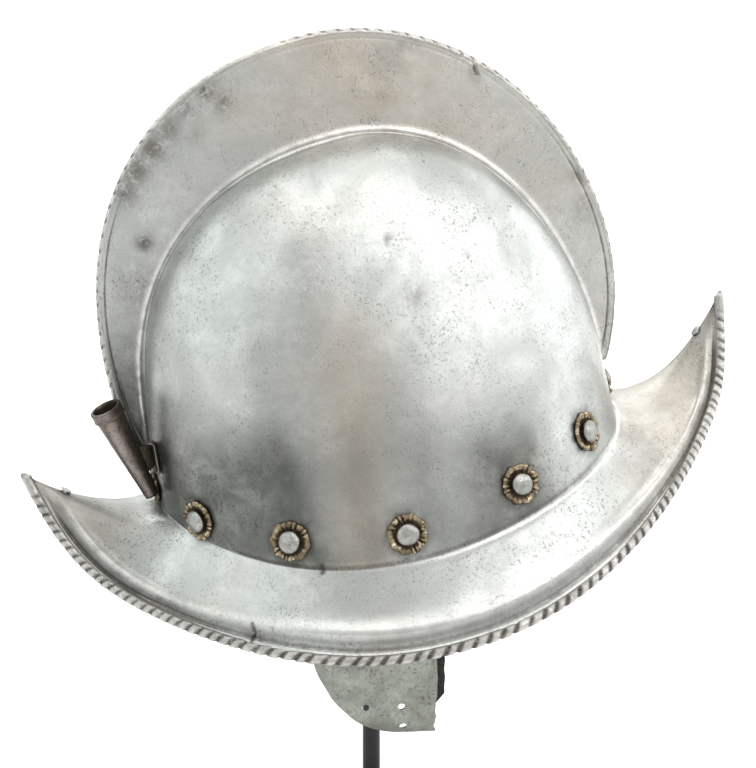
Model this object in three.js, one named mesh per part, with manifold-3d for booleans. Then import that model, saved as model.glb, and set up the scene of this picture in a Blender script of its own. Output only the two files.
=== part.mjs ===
// A steel comb morion with roped edges, riveted brass washers, a plume holder and two hanging
// cheek plates, set on a plain black post stand. Millimetres, +Z up, +X to the front.
import * as THREE from "three";
import { mergeVertices } from "three/addons/utils/BufferGeometryUtils.js";
import Module from "manifold-3d";

const wasm = await Module();
wasm.setup();

// Driving sizes of the stand
const baseRadius = 80;
const baseThickness = 12;
const baseBevel = 2;
const poleRadius = 4.5;
const socketDepth = 8;
const restRadius = 30;
const restDepth = 22;
const datumHeight = 240; // helmet's datum above the table
const datumAhead = 4.6; // helmet's datum in front of the pole's axis

// How the helmet sits: its nose is raised on the stand
const pitch = 11.6; // degrees

// Sheet and fits
const sheet = 1.4; // skull, comb and brim
const clearance = 0.3; // between pieces that touch

// Foot of the skull, where the brim turns out, measured from the datum
const footFront = 114.5;
const footBack = 115;
const footHalfWidth = 98;
const footSquareness = 2.15;
const footDropSide = 35;
const footDropFront = 20.5;
const footDropBack = 10;
const footSweepFront = 1.4; // how late the foot climbs towards its front end
const footSweepBack = 2.4;

// Root of the comb on the skull
const rootFront = 115.5;
const rootBack = 112;
const rootTop = 147; // above the datum
const rootStartFront = 20.5; // its front end above the foot
const rootStartBack = 31; // its back end above the foot
const rootHalfWidth = 7;
const rootSquarenessFront = 1.95;
const rootSquarenessBack = 2.05;
const wallTaper = 0.45; // draws the skull's cross-section in to a blunt arch

// Edge of the comb, in the median plane, about its own centre
const combCentreAhead = 3.2;
const combCentreUp = 54.8;
const combReach = 128.8;
const combRise = 143;
const combFall = 131; // half height of the arc below its centre
const combSquarenessFront = 1.95;
const combSquarenessBack = 2.25;
const combDipFront = 25; // degrees by which the arc runs below its centre
const combDipBack = 15.5;
const combEdgeHalf = 1.9;
const combEdgeSwell = 0.3; // power by which the edge reaches that width from its ends
const combEdgeCrown = 0.6; // share of the width left on the very edge
const combEdgeShare = 0.96; // share of the comb's depth where the edge is widest
const combHollow = 0.82; // share of the comb's depth that is hollow
const combHollowSwell = 0.25; // power by which the hollow reaches that depth from its ends
const combSlit = 0.5; // half width of the hollow at its top

// Outline of the brim, seen from above, and the height of its edge
const brimFront = footFront + 68.5;
const brimBack = footBack + 60;
const brimHalfWidth = footHalfWidth + 22;
const brimPointedness = 2.15;
const brimLow = 75; // lowest edge, at the sides, below the datum
const brimClimb = 58; // rise of the edge towards the points
const brimTipFront = 35; // further rise at the front point
const brimTipBack = 40; // further rise at the back point
const brimDish = 3; // hollow of the brim between foot and edge, at the sides
const brimDishFront = 13; // the same on the median at the front
const brimDishBack = 6;
const beadRadius = 2.4; // roped edge
const grooveWidth = 4.5; // hollow line inboard of the roped edge
const grooveDepth = 0.7;

// Sharpness of each end of the brim: powers of how far round a station lies
const brimEnds = {
  front: { climb: 2, tip: 30, dish: 6 },
  back: { climb: 2.3, tip: 20, dish: 3 },
};

// Lining rivets on one side: degrees round the skull from the back, and height above the datum
const rivetPlaces = [
  { name: "back", turn: 0, height: 0.5 },
  { name: "1", turn: 27.5, height: -6 },
  { name: "2", turn: 56, height: -15 },
  { name: "3", turn: 83.6, height: -21.3, carries: true },
  { name: "4", turn: 110.7, height: -15.2 },
  { name: "5", turn: 136.8, height: -8.5 },
  { name: "front", turn: 180, height: -10.5 },
];
const rivetHeadRadius = 5.2;
const rivetHeadHeight = 3.4;
const rivetShankRadius = 2;
const washerRadius = 9.3;
const washerThickness = 1.2;
const washerLobes = 8;
const washerLobeDepth = 0.6;

// Small rivets in the points of the brim
const tipRivetInsetFront = 17; // from the point
const tipRivetInsetBack = 19;
const tipRivetRadius = 2.4;
const tipRivetHeight = 1;
const tipRivetStandOff = 1.3; // room for the hollow of the brim under its head
const smallShankRadius = 1.4; // shank of every small rivet
const clinchHeight = 1;

// Plume holder: a tapered socket that leans back from a plate on the wall
const plumeLength = 50.5;
const plumeTopRadius = 7.2;
const plumeBottomRadius = 3.4;
const plumeWall = 0.9;
const plumeCollarHeight = 5.5;
const plumeCollarProud = 0.7;
const plumeFloor = 8; // solid lower end
const plumeLean = 13.3; // degrees behind the helmet's upright
const plumeGap = 2.1; // between its lower end and the wall
const plumeAside = 14.5; // to the right of the median
const plumeUp = 0.5; // its lower end above the datum
const plumePlateWidth = 9;
const plumePlateAside = 17; // its middle to the right of the median
const plumePlateHeight = 16;
const plumePlateThickness = 1.2;
const plumePlateUp = 18; // its middle above the datum
const plumeWebHeight = 5;
const plumeRivetRadius = 2.2;
const plumeRivetHeight = 1.2;
const plumeRivetInset = 2.8; // from the plate's lower end

// Cheek plates, measured plumb from the rivet that carries each
const cheekSheet = 1.4;
const cheekTop = 34; // below the carrying rivet
const cheekHeight = 71;
const cheekFrontAhead = 14; // front edge ahead of the rivet
const cheekLength = 62;
const cheekFoot = 13; // length of its lowest edge
const cheekCurl = 10; // lower edge turned in
const cheekBow = 7; // back end turned in
const cheekHoleRadius = 1.7;

// Leathers that carry the cheek plates
const leather = 2.4;
const leatherHalfWidth = 9;
const leatherAbove = 7; // upper end above the rivet
const leatherBend = 8; // below the rivet, where it leaves the wall and hangs plumb
const leatherDrop = 95; // its point below the rivet
const leatherSwing = 9; // forward of the rivet
const leatherPoint = 13;
const leatherRelief = 0.7; // room for the wall's curve across its width
const cheekRivetRadius = 2.6;
const cheekRivetHeight = 1.2;
const cheekRivetDrops = [8, 19]; // below the plate's top edge
const hangDrill = 10 * leather; // depth of the drill through plate and leather

// Facets
const stations = 60;
const rivetSides = 10;
const smallRivetSides = 8;
const tubeSides = 16; // plume holder and post
const restSides = 24;
const baseSides = 32;

const degrees = Math.PI / 180;
const mix = (a, b, t) => a + (b - a) * t;
const power = (base, exponent) => Math.sign(base) * Math.abs(base) ** exponent;
const vector = (x, y, z) => new THREE.Vector3(x, y, z);

// Foot of the wall at a station angle, 0 at the front and 180 degrees at the back
function foot(angle) {
  const c = Math.cos(angle);
  const length = c > 0 ? footFront : footBack;
  const end = c > 0 ? footDropFront : footDropBack;
  const sweep = c > 0 ? footSweepFront : footSweepBack;
  const along = power(c, 2 / footSquareness);
  const out = footHalfWidth * power(Math.sin(angle), 2 / footSquareness);
  return vector(length * along, -out, mix(-footDropSide, -end, Math.abs(along) ** sweep));
}

function root(angle) {
  const c = Math.cos(angle);
  const s = Math.max(0, Math.sin(angle));
  const length = c > 0 ? rootFront : rootBack;
  const start = c > 0 ? rootStartFront : rootStartBack;
  const bend = 2 / (c > 0 ? rootSquarenessFront : rootSquarenessBack);
  const rise = mix(start, rootTop + footDropSide, s ** bend);
  return vector(
    length * power(c, bend),
    -rootHalfWidth * Math.sqrt(s),
    foot(angle).z + rise,
  );
}

function combEdge(angle) {
  const s = Math.max(0, Math.sin(angle));
  const turn = mix(-combDipFront, 180 + combDipBack, angle / Math.PI) * degrees;
  const along = Math.cos(turn);
  const up = Math.sin(turn);
  const bend = 2 / (along > 0 ? combSquarenessFront : combSquarenessBack);
  return vector(
    combCentreAhead + combReach * power(along, bend),
    -combEdgeHalf * s ** combEdgeSwell,
    combCentreUp + (up > 0 ? combRise * up ** bend : combFall * up),
  );
}

function brimEdge(angle) {
  const c = Math.cos(angle);
  const along = Math.abs(c);
  const end = c > 0 ? brimEnds.front : brimEnds.back;
  const out = brimHalfWidth * (1 - along ** brimPointedness);
  const climb = brimClimb * along ** end.climb;
  const tip = (c > 0 ? brimTipFront : brimTipBack) * along ** end.tip;
  return vector((c > 0 ? brimFront : brimBack) * c, -out, climb + tip - brimLow);
}

// Skull wall from the foot, share 0, to the comb's root, share 1
function wall(angle, share) {
  const low = foot(angle);
  const high = root(angle);
  const up = Math.sin((share * Math.PI) / 2);
  const across = Math.cos((share * Math.PI) / 2) - wallTaper * up * (1 - up);
  return vector(mix(high.x, low.x, across), mix(high.y, low.y, across), mix(low.z, high.z, up));
}

// Brim from the foot, share 0, to its edge, share 1, dished between them
function brim(angle, share) {
  const c = Math.cos(angle);
  const end = c > 0 ? brimEnds.front : brimEnds.back;
  const most = c > 0 ? brimDishFront : brimDishBack;
  const dish = mix(brimDish, most, Math.abs(c) ** end.dish);
  const point = foot(angle).lerp(brimEdge(angle), share);
  point.z -= 4 * dish * share * (1 - share);
  return point;
}

// The smooth outer surface: -1 is the brim's edge, 0 the foot, 1 the comb's root
function surface(angle, place) {
  return place < 0 ? brim(angle, -place) : wall(angle, place);
}

// Any station angle, the far side mirrored from the near one
function mirrored(form, angle, place) {
  const turn = ((angle % (2 * Math.PI)) + 2 * Math.PI) % (2 * Math.PI);
  if (turn <= Math.PI) return form(turn, place);
  const point = form(2 * Math.PI - turn, place);
  point.y = -point.y;
  return point;
}

function outward(angle, place) {
  const step = 0.03;
  const low = Math.max(-1, place - step);
  const high = Math.min(1, place + step);
  const along = mirrored(surface, angle + step, place).sub(mirrored(surface, angle - step, place));
  const up = mirrored(surface, angle, high).sub(mirrored(surface, angle, low));
  return up.cross(along).normalize();
}

// A row of the shell's section: where it runs on the smooth surface, and how far it stands off
function sheetRow(place, standOff) {
  return (angle) => {
    const normal = outward(angle, place);
    return mirrored(surface, angle, place).addScaledVector(normal, standOff);
  };
}

// A row near the brim's edge, at a distance from it, measured from the middle of the sheet
function edgeRow(fromEdge, offMiddle) {
  return (angle) => {
    const width = mirrored(brim, angle, 1).distanceTo(mirrored(brim, angle, 0));
    return sheetRow(fromEdge / width - 1, offMiddle - sheet / 2)(angle);
  };
}

// A row of the comb's face: share 0 at the root and 1 at the edge
function combRow(share, halfWidth) {
  return (angle) => {
    const point = mirrored(root, angle, 0).lerp(mirrored(combEdge, angle, 0), share);
    if (halfWidth !== undefined) {
      const side = mirrored(combEdge, angle, 0).y / combEdgeHalf;
      point.y = side * halfWidth;
    }
    return point;
  };
}

// A row of the hollow inside the comb
function combHollowRow(share) {
  return (angle) => {
    const low = sheetRow(1, -sheet)(angle);
    const side = mirrored(combEdge, angle, 0).y / combEdgeHalf;
    const depth = combHollow * Math.abs(Math.sin(angle)) ** combHollowSwell * share;
    const reach = mirrored(combEdge, angle, 0).sub(mirrored(root, angle, 0));
    const point = low.clone().addScaledVector(reach, depth);
    point.y = mix(low.y, side * combSlit, share);
    return point;
  };
}

// Distances from the brim's edge and heights off the middle of the sheet, over the roped edge
const beadRows = [
  { fromEdge: 0.4 * beadRadius, off: 0.8 * beadRadius },
  { fromEdge: 1.5 * beadRadius, off: 0.87 * beadRadius },
];
const wallShares = [0.87, 0.74, 0.61, 0.48, 0.35, 0.22, 0.1];
const brimShares = [0.12, 0.36, 0.62];

function shellRows() {
  const grooveEdge = 2 * beadRadius;
  const grooveEnd = grooveEdge + grooveWidth;
  return [
    combRow(1, combEdgeCrown * combEdgeHalf),
    combRow(combEdgeShare, combEdgeHalf),
    combRow(0.5),
    combRow(0),
    ...wallShares.map((share) => sheetRow(share, 0)),
    sheetRow(0, 0),
    ...brimShares.map((share) => sheetRow(-share, 0)),
    edgeRow(grooveEnd, sheet / 2),
    edgeRow(grooveEdge + grooveWidth / 2, sheet / 2 - grooveDepth),
    edgeRow(grooveEdge, sheet / 2),
    ...beadRows.map(({ fromEdge, off }) => edgeRow(fromEdge, off)).reverse(),
    edgeRow(0, 0),
    ...beadRows.map(({ fromEdge, off }) => edgeRow(fromEdge, -off)),
    edgeRow(grooveEnd, -sheet / 2),
    ...brimShares.map((share) => sheetRow(-share, -sheet)).reverse(),
    sheetRow(0, -sheet),
    ...wallShares.map((share) => sheetRow(share, -sheet)).reverse(),
    sheetRow(1, -sheet),
    combHollowRow(0.5),
    combHollowRow(1),
  ];
}

// Closes rows of points round the helmet: its first and last rows are slits that are zipped shut
function closedBand(rows, around) {
  const points = [];
  const faces = [];
  for (const row of rows)
    for (let i = 0; i < around; i++) points.push(row((i / around) * 2 * Math.PI));
  const at = (r, i) => r * around + ((i + around) % around);
  for (let r = 0; r + 1 < rows.length; r++)
    for (let i = 0; i < around; i++) {
      faces.push(at(r, i), at(r + 1, i + 1), at(r + 1, i));
      faces.push(at(r, i), at(r, i + 1), at(r + 1, i + 1));
    }
  const last = rows.length - 1;
  for (let i = 0; i < around / 2; i++) {
    const slit = [i, i + 1, -i - 1, -i];
    for (const [a, b, c] of [
      [0, 1, 2],
      [0, 2, 3],
    ]) {
      faces.push(at(0, slit[a]), at(0, slit[c]), at(0, slit[b]));
      faces.push(at(last, slit[a]), at(last, slit[b]), at(last, slit[c]));
    }
  }
  return indexed(points, faces);
}

// Geometry from points and triangles, without the triangles that have no area
function indexed(points, faces) {
  const merged = mergeVertices(
    new THREE.BufferGeometry()
      .setAttribute("position", new THREE.Float32BufferAttribute(points.flatMap((p) => p.toArray()), 3))
      .setIndex(faces),
    1e-3,
  );
  const kept = [];
  const old = merged.index.array;
  for (let i = 0; i < old.length; i += 3) {
    const [a, b, c] = [old[i], old[i + 1], old[i + 2]];
    if (a !== b && b !== c && c !== a) kept.push(a, b, c);
  }
  return merged.setIndex(kept);
}

// Geometry with position alone, its shared vertices merged
function bare(geometry) {
  const only = geometry.clone();
  only.deleteAttribute("normal");
  only.deleteAttribute("uv");
  return mergeVertices(only, 1e-3);
}

function solidOf(geometry) {
  const { attributes, index } = bare(geometry);
  return new wasm.Manifold(
    new wasm.Mesh({
      numProp: 3,
      vertProperties: new Float32Array(attributes.position.array),
      triVerts: new Uint32Array(index.array),
    }),
  );
}

function geometryOf(solid) {
  const mesh = solid.getMesh();
  const geometry = new THREE.BufferGeometry()
    .setAttribute("position", new THREE.BufferAttribute(mesh.vertProperties, 3))
    .setIndex(new THREE.BufferAttribute(mesh.triVerts, 1));
  geometry.computeVertexNormals();
  return geometry;
}

// A turned piece about +Z, from a closed profile of [radius, height] pairs
function turned(profile, sides) {
  const points = profile.map(([r, z]) => new THREE.Vector2(r, z));
  const lathe = new THREE.LatheGeometry([...points, points[0]], sides);
  return bare(lathe.rotateX(Math.PI / 2));
}

// Moves geometry made about +Z so that +Z points along an axis from a seat
function seated(geometry, seat, axis) {
  const turn = new THREE.Quaternion().setFromUnitVectors(vector(0, 0, 1), axis.clone().normalize());
  return geometry.clone().applyQuaternion(turn).translate(seat.x, seat.y, seat.z);
}

// A closed plate between an outer and an inner face, each a function of two shares
function slab(columns, rows, outer, inner) {
  const points = [];
  const faces = [];
  for (const face of [outer, inner])
    for (let r = 0; r <= rows; r++)
      for (let c = 0; c <= columns; c++) points.push(face(c / columns, r / rows));
  const wide = columns + 1;
  const back = wide * (rows + 1);
  const quad = (a, b, c, d) => faces.push(a, b, c, a, c, d);
  for (let r = 0; r < rows; r++)
    for (let c = 0; c < columns; c++) {
      const a = r * wide + c;
      quad(a, a + wide, a + wide + 1, a + 1);
      quad(back + a, back + a + 1, back + a + wide + 1, back + a + wide);
    }
  for (let c = 0; c < columns; c++) {
    const low = rows * wide + c;
    quad(c, c + 1, back + c + 1, back + c);
    quad(low, back + low, back + low + 1, low + 1);
  }
  for (let r = 0; r < rows; r++) {
    const left = r * wide;
    const right = left + columns;
    quad(left, back + left, back + left + wide, left + wide);
    quad(right, right + wide, back + right + wide, back + right);
  }
  return indexed(points, faces);
}

// Where a rivet sits on the wall at a height above the datum, and which way it points
function wallSeat(angle, height) {
  const low = mirrored(foot, angle).z;
  const high = mirrored(root, angle).z;
  const place = (2 / Math.PI) * Math.asin((height - low) / (high - low));
  return { point: mirrored(surface, angle, place), axis: outward(angle, place) };
}

// A clinched rivet about +Z: its seat lies above the face it holds, and its clinch below the grip
function rivetGeometry({ head, rise, shank, above, grip, sides }) {
  const seat = above + clearance;
  const back = -(grip + clearance);
  const clinch = 1.5 * shank;
  const profile = [
    [0, back - clinchHeight],
    [clinch, back - clinchHeight],
    [clinch, back],
    [shank, back],
    [shank, seat],
    [head, seat],
    [head, seat + 0.4 * rise],
    [0.68 * head, seat + 0.83 * rise],
    [0, seat + rise],
  ];
  return turned(profile, sides);
}

// A hole for a shank, drilled along +Z through whatever lies at the seat
function drill(shank, depth) {
  const radius = shank + clearance;
  return bare(new THREE.CylinderGeometry(radius, radius, depth, 8).rotateX(Math.PI / 2));
}

function drilled(solid, shank, depth, seats) {
  return seats.reduce(
    (left, { point, axis }) => left.subtract(solidOf(seated(drill(shank, depth), point, axis))),
    solid,
  );
}

// Brass washer with a lobed rim
function washerGeometry() {
  const outline = Array.from({ length: 2 * washerLobes }, (_, i) => {
    const turn = (i * Math.PI) / washerLobes;
    const radius = washerRadius - (i % 2) * washerLobeDepth;
    return new THREE.Vector2(radius * Math.cos(turn), radius * Math.sin(turn));
  });
  const shape = new THREE.Shape(outline);
  shape.holes.push(new THREE.Path().absarc(0, 0, rivetShankRadius + clearance, 0, 2 * Math.PI));
  const options = { depth: washerThickness, bevelEnabled: false, curveSegments: 4 };
  return bare(new THREE.ExtrudeGeometry(shape, options).translate(0, 0, clearance));
}

// Angle from the median at which the skull's foot lies that far aside of it
function turnAside(aside) {
  return Math.asin((aside / footHalfWidth) ** (footSquareness / 2));
}

// A frame at a point: its Z along the axis and its Y as near to up as that allows
function uprightOn({ point, axis }) {
  const side = vector(0, 0, 1).cross(axis).normalize();
  const up = axis.clone().cross(side);
  return new THREE.Matrix4().makeBasis(side, up, axis).setPosition(point);
}

// Tapered socket for a plume, on a web from its riveted plate
function plumeHolderGeometry(plate, rivet) {
  const lean = plumeLean * degrees;
  const axis = vector(-Math.sin(lean), 0, Math.cos(lean));
  const wallBehind = wallSeat(Math.PI - turnAside(plumeAside), plumeUp).point.x;
  const lower = vector(wallBehind - plumeGap - plumeBottomRadius, -plumeAside, plumeUp);
  const proud = plumeTopRadius + plumeCollarProud;
  const inner = plumeTopRadius - plumeWall;
  const innerLow = plumeBottomRadius - plumeWall;
  const tube = turned(
    [
      [0, 0],
      [plumeBottomRadius, 0],
      [plumeTopRadius, plumeLength - plumeCollarHeight],
      [proud, plumeLength - plumeCollarHeight + plumeCollarProud],
      [proud, plumeLength],
      [0, plumeLength],
    ],
    tubeSides,
  );
  const bore = turned(
    [
      [0, plumeFloor],
      [innerLow, plumeFloor],
      [inner, plumeLength + 1],
      [0, plumeLength + 1],
    ],
    tubeSides,
  );
  const board = bare(new THREE.BoxGeometry(plumePlateWidth, plumePlateHeight, plumePlateThickness));
  board.translate(0, 0, clearance + plumePlateThickness / 2).applyMatrix4(uprightOn(plate));
  const from = plate.point.clone().addScaledVector(plate.axis, clearance + plumePlateThickness / 2);
  const to = lower.clone().addScaledVector(axis, (from.z - lower.z) / axis.z);
  const reach = to.clone().sub(from);
  const web = bare(new THREE.BoxGeometry(plumeBottomRadius, plumeWebHeight, reach.length()));
  web.translate(0, 0, reach.length() / 2);
  web.applyMatrix4(uprightOn({ point: from, axis: reach.clone().normalize() }));
  const joined = solidOf(board).add(solidOf(web)).add(solidOf(seated(tube, lower, axis)));
  const open = joined.subtract(solidOf(seated(bore, lower, axis)));
  return geometryOf(drilled(open, smallShankRadius, 4 * plumePlateThickness, [rivet]));
}

// Outward distance, from the carrying rivet's seat, of the leather's outer face at a plumb place
function hang(axis, x, z) {
  const lean = (axis.x * x + axis.z * Math.max(z, -leatherBend)) / Math.abs(axis.y);
  const drop = Math.max(0, -z - cheekTop) / cheekHeight;
  const bow = cheekBow * (Math.min(0, x - leatherSwing) / cheekLength) ** 2;
  return -lean - sheet - clearance - leatherRelief - bow - cheekCurl * drop ** 6;
}

// Cheek plate: shares across from its back edge and down from its top, inset from its outer face
function cheekPoint(axis, across, down, inset) {
  const turn = (down * Math.PI) / 2;
  const back = cheekFrontAhead - cheekFoot - (cheekLength - cheekFoot) * Math.cos(turn);
  const x = mix(back, cheekFrontAhead, across);
  const z = -cheekTop - cheekHeight * Math.sin(turn);
  const out = hang(axis, x, z) + clearance + cheekSheet - inset;
  return vector(x, Math.sign(axis.y) * out, z);
}

// Open lacing holes, behind the front edge and below the top, as shares of the plate
const cheekHoles = [
  { back: 0.53, down: 0.76 },
  { back: 0.26, down: 0.76 },
  { back: 0.23, down: 0.93 },
];

function cheekGeometry(axis, rivets) {
  const across = (u) => (axis.y < 0 ? u : 1 - u);
  const outer = (u, v) => cheekPoint(axis, across(u), v, 0);
  const inner = (u, v) => cheekPoint(axis, across(u), v, cheekSheet);
  const plate = drilled(solidOf(slab(7, 7, outer, inner)), smallShankRadius, hangDrill, rivets);
  const holes = cheekHoles.map(({ back, down }) => ({
    point: vector(
      cheekFrontAhead - back * cheekLength,
      Math.sign(axis.y) * hang(axis, leatherSwing, -cheekTop),
      -cheekTop - down * cheekHeight,
    ),
    axis: vector(0, 1, 0),
  }));
  return geometryOf(drilled(plate, cheekHoleRadius - clearance, 4 * cheekCurl, holes));
}

// Leather: shares across from its back edge and down from its upper end
function leatherFace(axis, across, down, inset) {
  const z = mix(leatherAbove, -leatherDrop, down);
  const swing = leatherSwing * THREE.MathUtils.smoothstep(-z, 0, cheekTop);
  const half = leatherHalfWidth * THREE.MathUtils.clamp((z + leatherDrop) / leatherPoint, 0.03, 1);
  const x = swing + (2 * across - 1) * half;
  return vector(x, Math.sign(axis.y) * (hang(axis, x, z) - inset), z);
}

function leatherGeometry(axis, rivets) {
  const across = (u) => (axis.y < 0 ? u : 1 - u);
  const outer = (u, v) => leatherFace(axis, across(u), v, 0);
  const inner = (u, v) => leatherFace(axis, across(u), v, leather);
  const strap = solidOf(slab(2, 13, outer, inner));
  const hung = drilled(strap, rivetShankRadius, hangDrill, [{ point: vector(0, 0, 0), axis }]);
  return geometryOf(drilled(hung, smallShankRadius, hangDrill, rivets));
}

// Outer face of the plate at the rivets that join it to its leather
function cheekRivetSeats(axis) {
  const level = vector(axis.x, axis.y, 0).normalize();
  return cheekRivetDrops.map((drop) => {
    const z = -cheekTop - drop;
    const out = hang(axis, leatherSwing, z) + clearance + cheekSheet;
    return { point: vector(leatherSwing, Math.sign(axis.y) * out, z), axis: level };
  });
}

const steel = { color: 0xb4b3ae, roughness: 0.38, metalness: 0.9 };
const brass = { color: 0xa98f4e, roughness: 0.5, metalness: 0.85 };
const darkSteel = { color: 0x6d645c, roughness: 0.55, metalness: 0.8 };
const blackLeather = { color: 0x1f1c19, roughness: 0.75, metalness: 0 };
const blackPaint = { color: 0x17181a, roughness: 0.35, metalness: 0.2 };

function piece(parent, name, geometry, finish) {
  const mesh = new THREE.Mesh(geometry, new THREE.MeshStandardMaterial(finish));
  mesh.name = name;
  parent.add(mesh);
}

const helmetTurn = new THREE.Matrix4()
  .makeRotationY(-pitch * degrees)
  .setPosition(datumAhead, 0, datumHeight);

const object = new THREE.Group();
const helmet = new THREE.Group();
helmet.applyMatrix4(helmetTurn);
object.add(helmet);

// Lining rivets: one on the median at each end, and the others on both sides
const liningRivets = rivetPlaces.flatMap(({ name, turn, height, carries }) => {
  const sides = turn % 180 ? { right: 180 - turn, left: 180 + turn } : { "": 180 - turn };
  return Object.entries(sides).map(([side, angle]) => ({
    name: side ? `${side}_${name}` : name,
    side,
    carries,
    ...wallSeat(angle * degrees, height),
  }));
});

for (const { name, carries, point, axis } of liningRivets) {
  piece(helmet, `rosette_washer_${name}`, seated(washerGeometry(), point, axis), brass);
  const rivet = rivetGeometry({
    head: rivetHeadRadius,
    rise: rivetHeadHeight,
    shank: rivetShankRadius,
    above: clearance + washerThickness,
    grip: carries ? sheet + clearance + leatherRelief + leather : sheet,
    sides: rivetSides,
  });
  piece(helmet, `lining_rivet_${name}`, seated(rivet, point, axis), steel);
}

// Small rivets in the points of the brim
const tipRivets = [
  { name: "front", angle: 0, inset: tipRivetInsetFront },
  { name: "back", angle: Math.PI, inset: tipRivetInsetBack },
].map(({ name, angle, inset }) => {
  const width = mirrored(brim, angle, 1).distanceTo(mirrored(brim, angle, 0));
  const place = inset / width - 1;
  return { name, point: mirrored(surface, angle, place), axis: outward(angle, place) };
});
for (const { name, point, axis } of tipRivets) {
  const rivet = rivetGeometry({
    head: tipRivetRadius,
    rise: tipRivetHeight,
    shank: smallShankRadius,
    above: tipRivetStandOff,
    grip: sheet + tipRivetStandOff,
    sides: smallRivetSides,
  });
  piece(helmet, `brim_rivet_${name}`, seated(rivet, point, axis), steel);
}

// Plume holder and its rivet, beside the comb's lower end
const plumePlate = wallSeat(Math.PI - turnAside(plumePlateAside), plumePlateUp);
const plumeRivetPlace = vector(0, plumeRivetInset - plumePlateHeight / 2, 0);
const plumeRivet = {
  point: plumeRivetPlace.applyMatrix4(uprightOn(plumePlate)),
  axis: plumePlate.axis,
};
piece(helmet, "plume_holder", plumeHolderGeometry(plumePlate, plumeRivet), darkSteel);
const plumeRivetForm = rivetGeometry({
  head: plumeRivetRadius,
  rise: plumeRivetHeight,
  shank: smallShankRadius,
  above: clearance + plumePlateThickness,
  grip: sheet,
  sides: smallRivetSides,
});
piece(helmet, "plume_rivet", seated(plumeRivetForm, plumeRivet.point, plumeRivet.axis), darkSteel);

// The steel shell: skull, comb and brim in one, drilled for its rivets
const drillDepth = 8 * sheet;
const sheetMetal = solidOf(closedBand(shellRows(), stations));
const forLining = drilled(sheetMetal, rivetShankRadius, drillDepth, liningRivets);
const forSmall = drilled(forLining, smallShankRadius, drillDepth, [...tipRivets, plumeRivet]);
piece(helmet, "helmet_shell", geometryOf(forSmall), steel);

// Cheek plates hang plumb from the rivets above them
for (const rivet of liningRivets.filter((one) => one.carries)) {
  const hanger = new THREE.Group();
  hanger.position.copy(rivet.point);
  hanger.rotation.y = pitch * degrees;
  helmet.add(hanger);
  const axis = rivet.axis.clone().applyAxisAngle(vector(0, 1, 0), -pitch * degrees);
  const seats = cheekRivetSeats(axis);
  piece(hanger, `cheek_plate_${rivet.side}`, cheekGeometry(axis, seats), steel);
  piece(hanger, `cheek_leather_${rivet.side}`, leatherGeometry(axis, seats), blackLeather);
  const form = rivetGeometry({
    head: cheekRivetRadius,
    rise: cheekRivetHeight,
    shank: smallShankRadius,
    above: 0,
    grip: cheekSheet + clearance + leather,
    sides: smallRivetSides,
  });
  seats.forEach((seat, i) => {
    const name = `cheek_rivet_${rivet.side}_${i + 1}`;
    piece(hanger, name, seated(form, seat.point, seat.axis), steel);
  });
}

// Stand: a heavy foot, a post and a rest shaped to the inside of the crown
function cylinder(radius, bottom, top, sides) {
  const form = new THREE.CylinderGeometry(radius, radius, top - bottom, sides);
  return bare(form.rotateX(Math.PI / 2).translate(0, 0, (bottom + top) / 2));
}

const innerRows = [1, ...wallShares, 0].map((share) => sheetRow(share, -sheet - clearance));
const hollow = closedBand(innerRows, stations).applyMatrix4(helmetTurn);
const crown = vector(0, 0, rootTop).applyMatrix4(helmetTurn).z;
const restBottom = crown - restDepth;
const socket = solidOf(cylinder(poleRadius + clearance, restBottom - 1, restBottom + socketDepth, tubeSides));
const rest = solidOf(cylinder(restRadius, restBottom, crown + restDepth, restSides))
  .intersect(solidOf(hollow))
  .subtract(socket);
piece(object, "stand_rest", geometryOf(rest), blackPaint);

const socketFloor = baseThickness - socketDepth;
const base = turned(
  [
    [0, 0],
    [baseRadius, 0],
    [baseRadius, baseThickness - baseBevel],
    [baseRadius - baseBevel, baseThickness],
    [poleRadius + clearance, baseThickness],
    [poleRadius + clearance, socketFloor],
    [0, socketFloor],
  ],
  baseSides,
);
piece(object, "stand_base", base, blackPaint);

const poleTop = restBottom + socketDepth - clearance;
piece(object, "stand_pole", cylinder(poleRadius, socketFloor + clearance, poleTop, tubeSides), blackPaint);

export default object;
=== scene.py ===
# Dresses the morion helmet and its post stand for a photograph. The helmet's forms are in
# millimetres in the helmet's own frame: +X to the front, -Y to the wearer's right, +Z up.
import math

import bmesh
import bpy
import numpy as np
from mathutils import Matrix, Vector

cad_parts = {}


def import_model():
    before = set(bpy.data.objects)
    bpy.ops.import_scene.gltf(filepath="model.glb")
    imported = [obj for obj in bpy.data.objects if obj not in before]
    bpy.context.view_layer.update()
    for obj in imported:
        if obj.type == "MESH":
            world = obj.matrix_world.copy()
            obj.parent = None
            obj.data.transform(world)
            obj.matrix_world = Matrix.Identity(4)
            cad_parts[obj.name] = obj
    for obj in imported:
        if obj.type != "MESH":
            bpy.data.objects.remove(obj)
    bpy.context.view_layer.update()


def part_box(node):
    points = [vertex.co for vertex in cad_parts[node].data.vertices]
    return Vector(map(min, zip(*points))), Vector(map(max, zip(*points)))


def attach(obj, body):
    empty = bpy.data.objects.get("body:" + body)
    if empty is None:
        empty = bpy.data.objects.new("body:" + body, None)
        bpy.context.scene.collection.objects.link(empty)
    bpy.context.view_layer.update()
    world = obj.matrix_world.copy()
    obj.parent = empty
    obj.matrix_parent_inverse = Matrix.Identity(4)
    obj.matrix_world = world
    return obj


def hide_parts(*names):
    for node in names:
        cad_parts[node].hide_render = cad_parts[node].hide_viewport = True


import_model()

# ---- sizes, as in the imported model
PITCH = math.radians(11.6)
DATUM_AHEAD, DATUM_UP = 4.6, 240.0
SHEET = 1.4
TAU = 2 * math.pi

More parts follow.
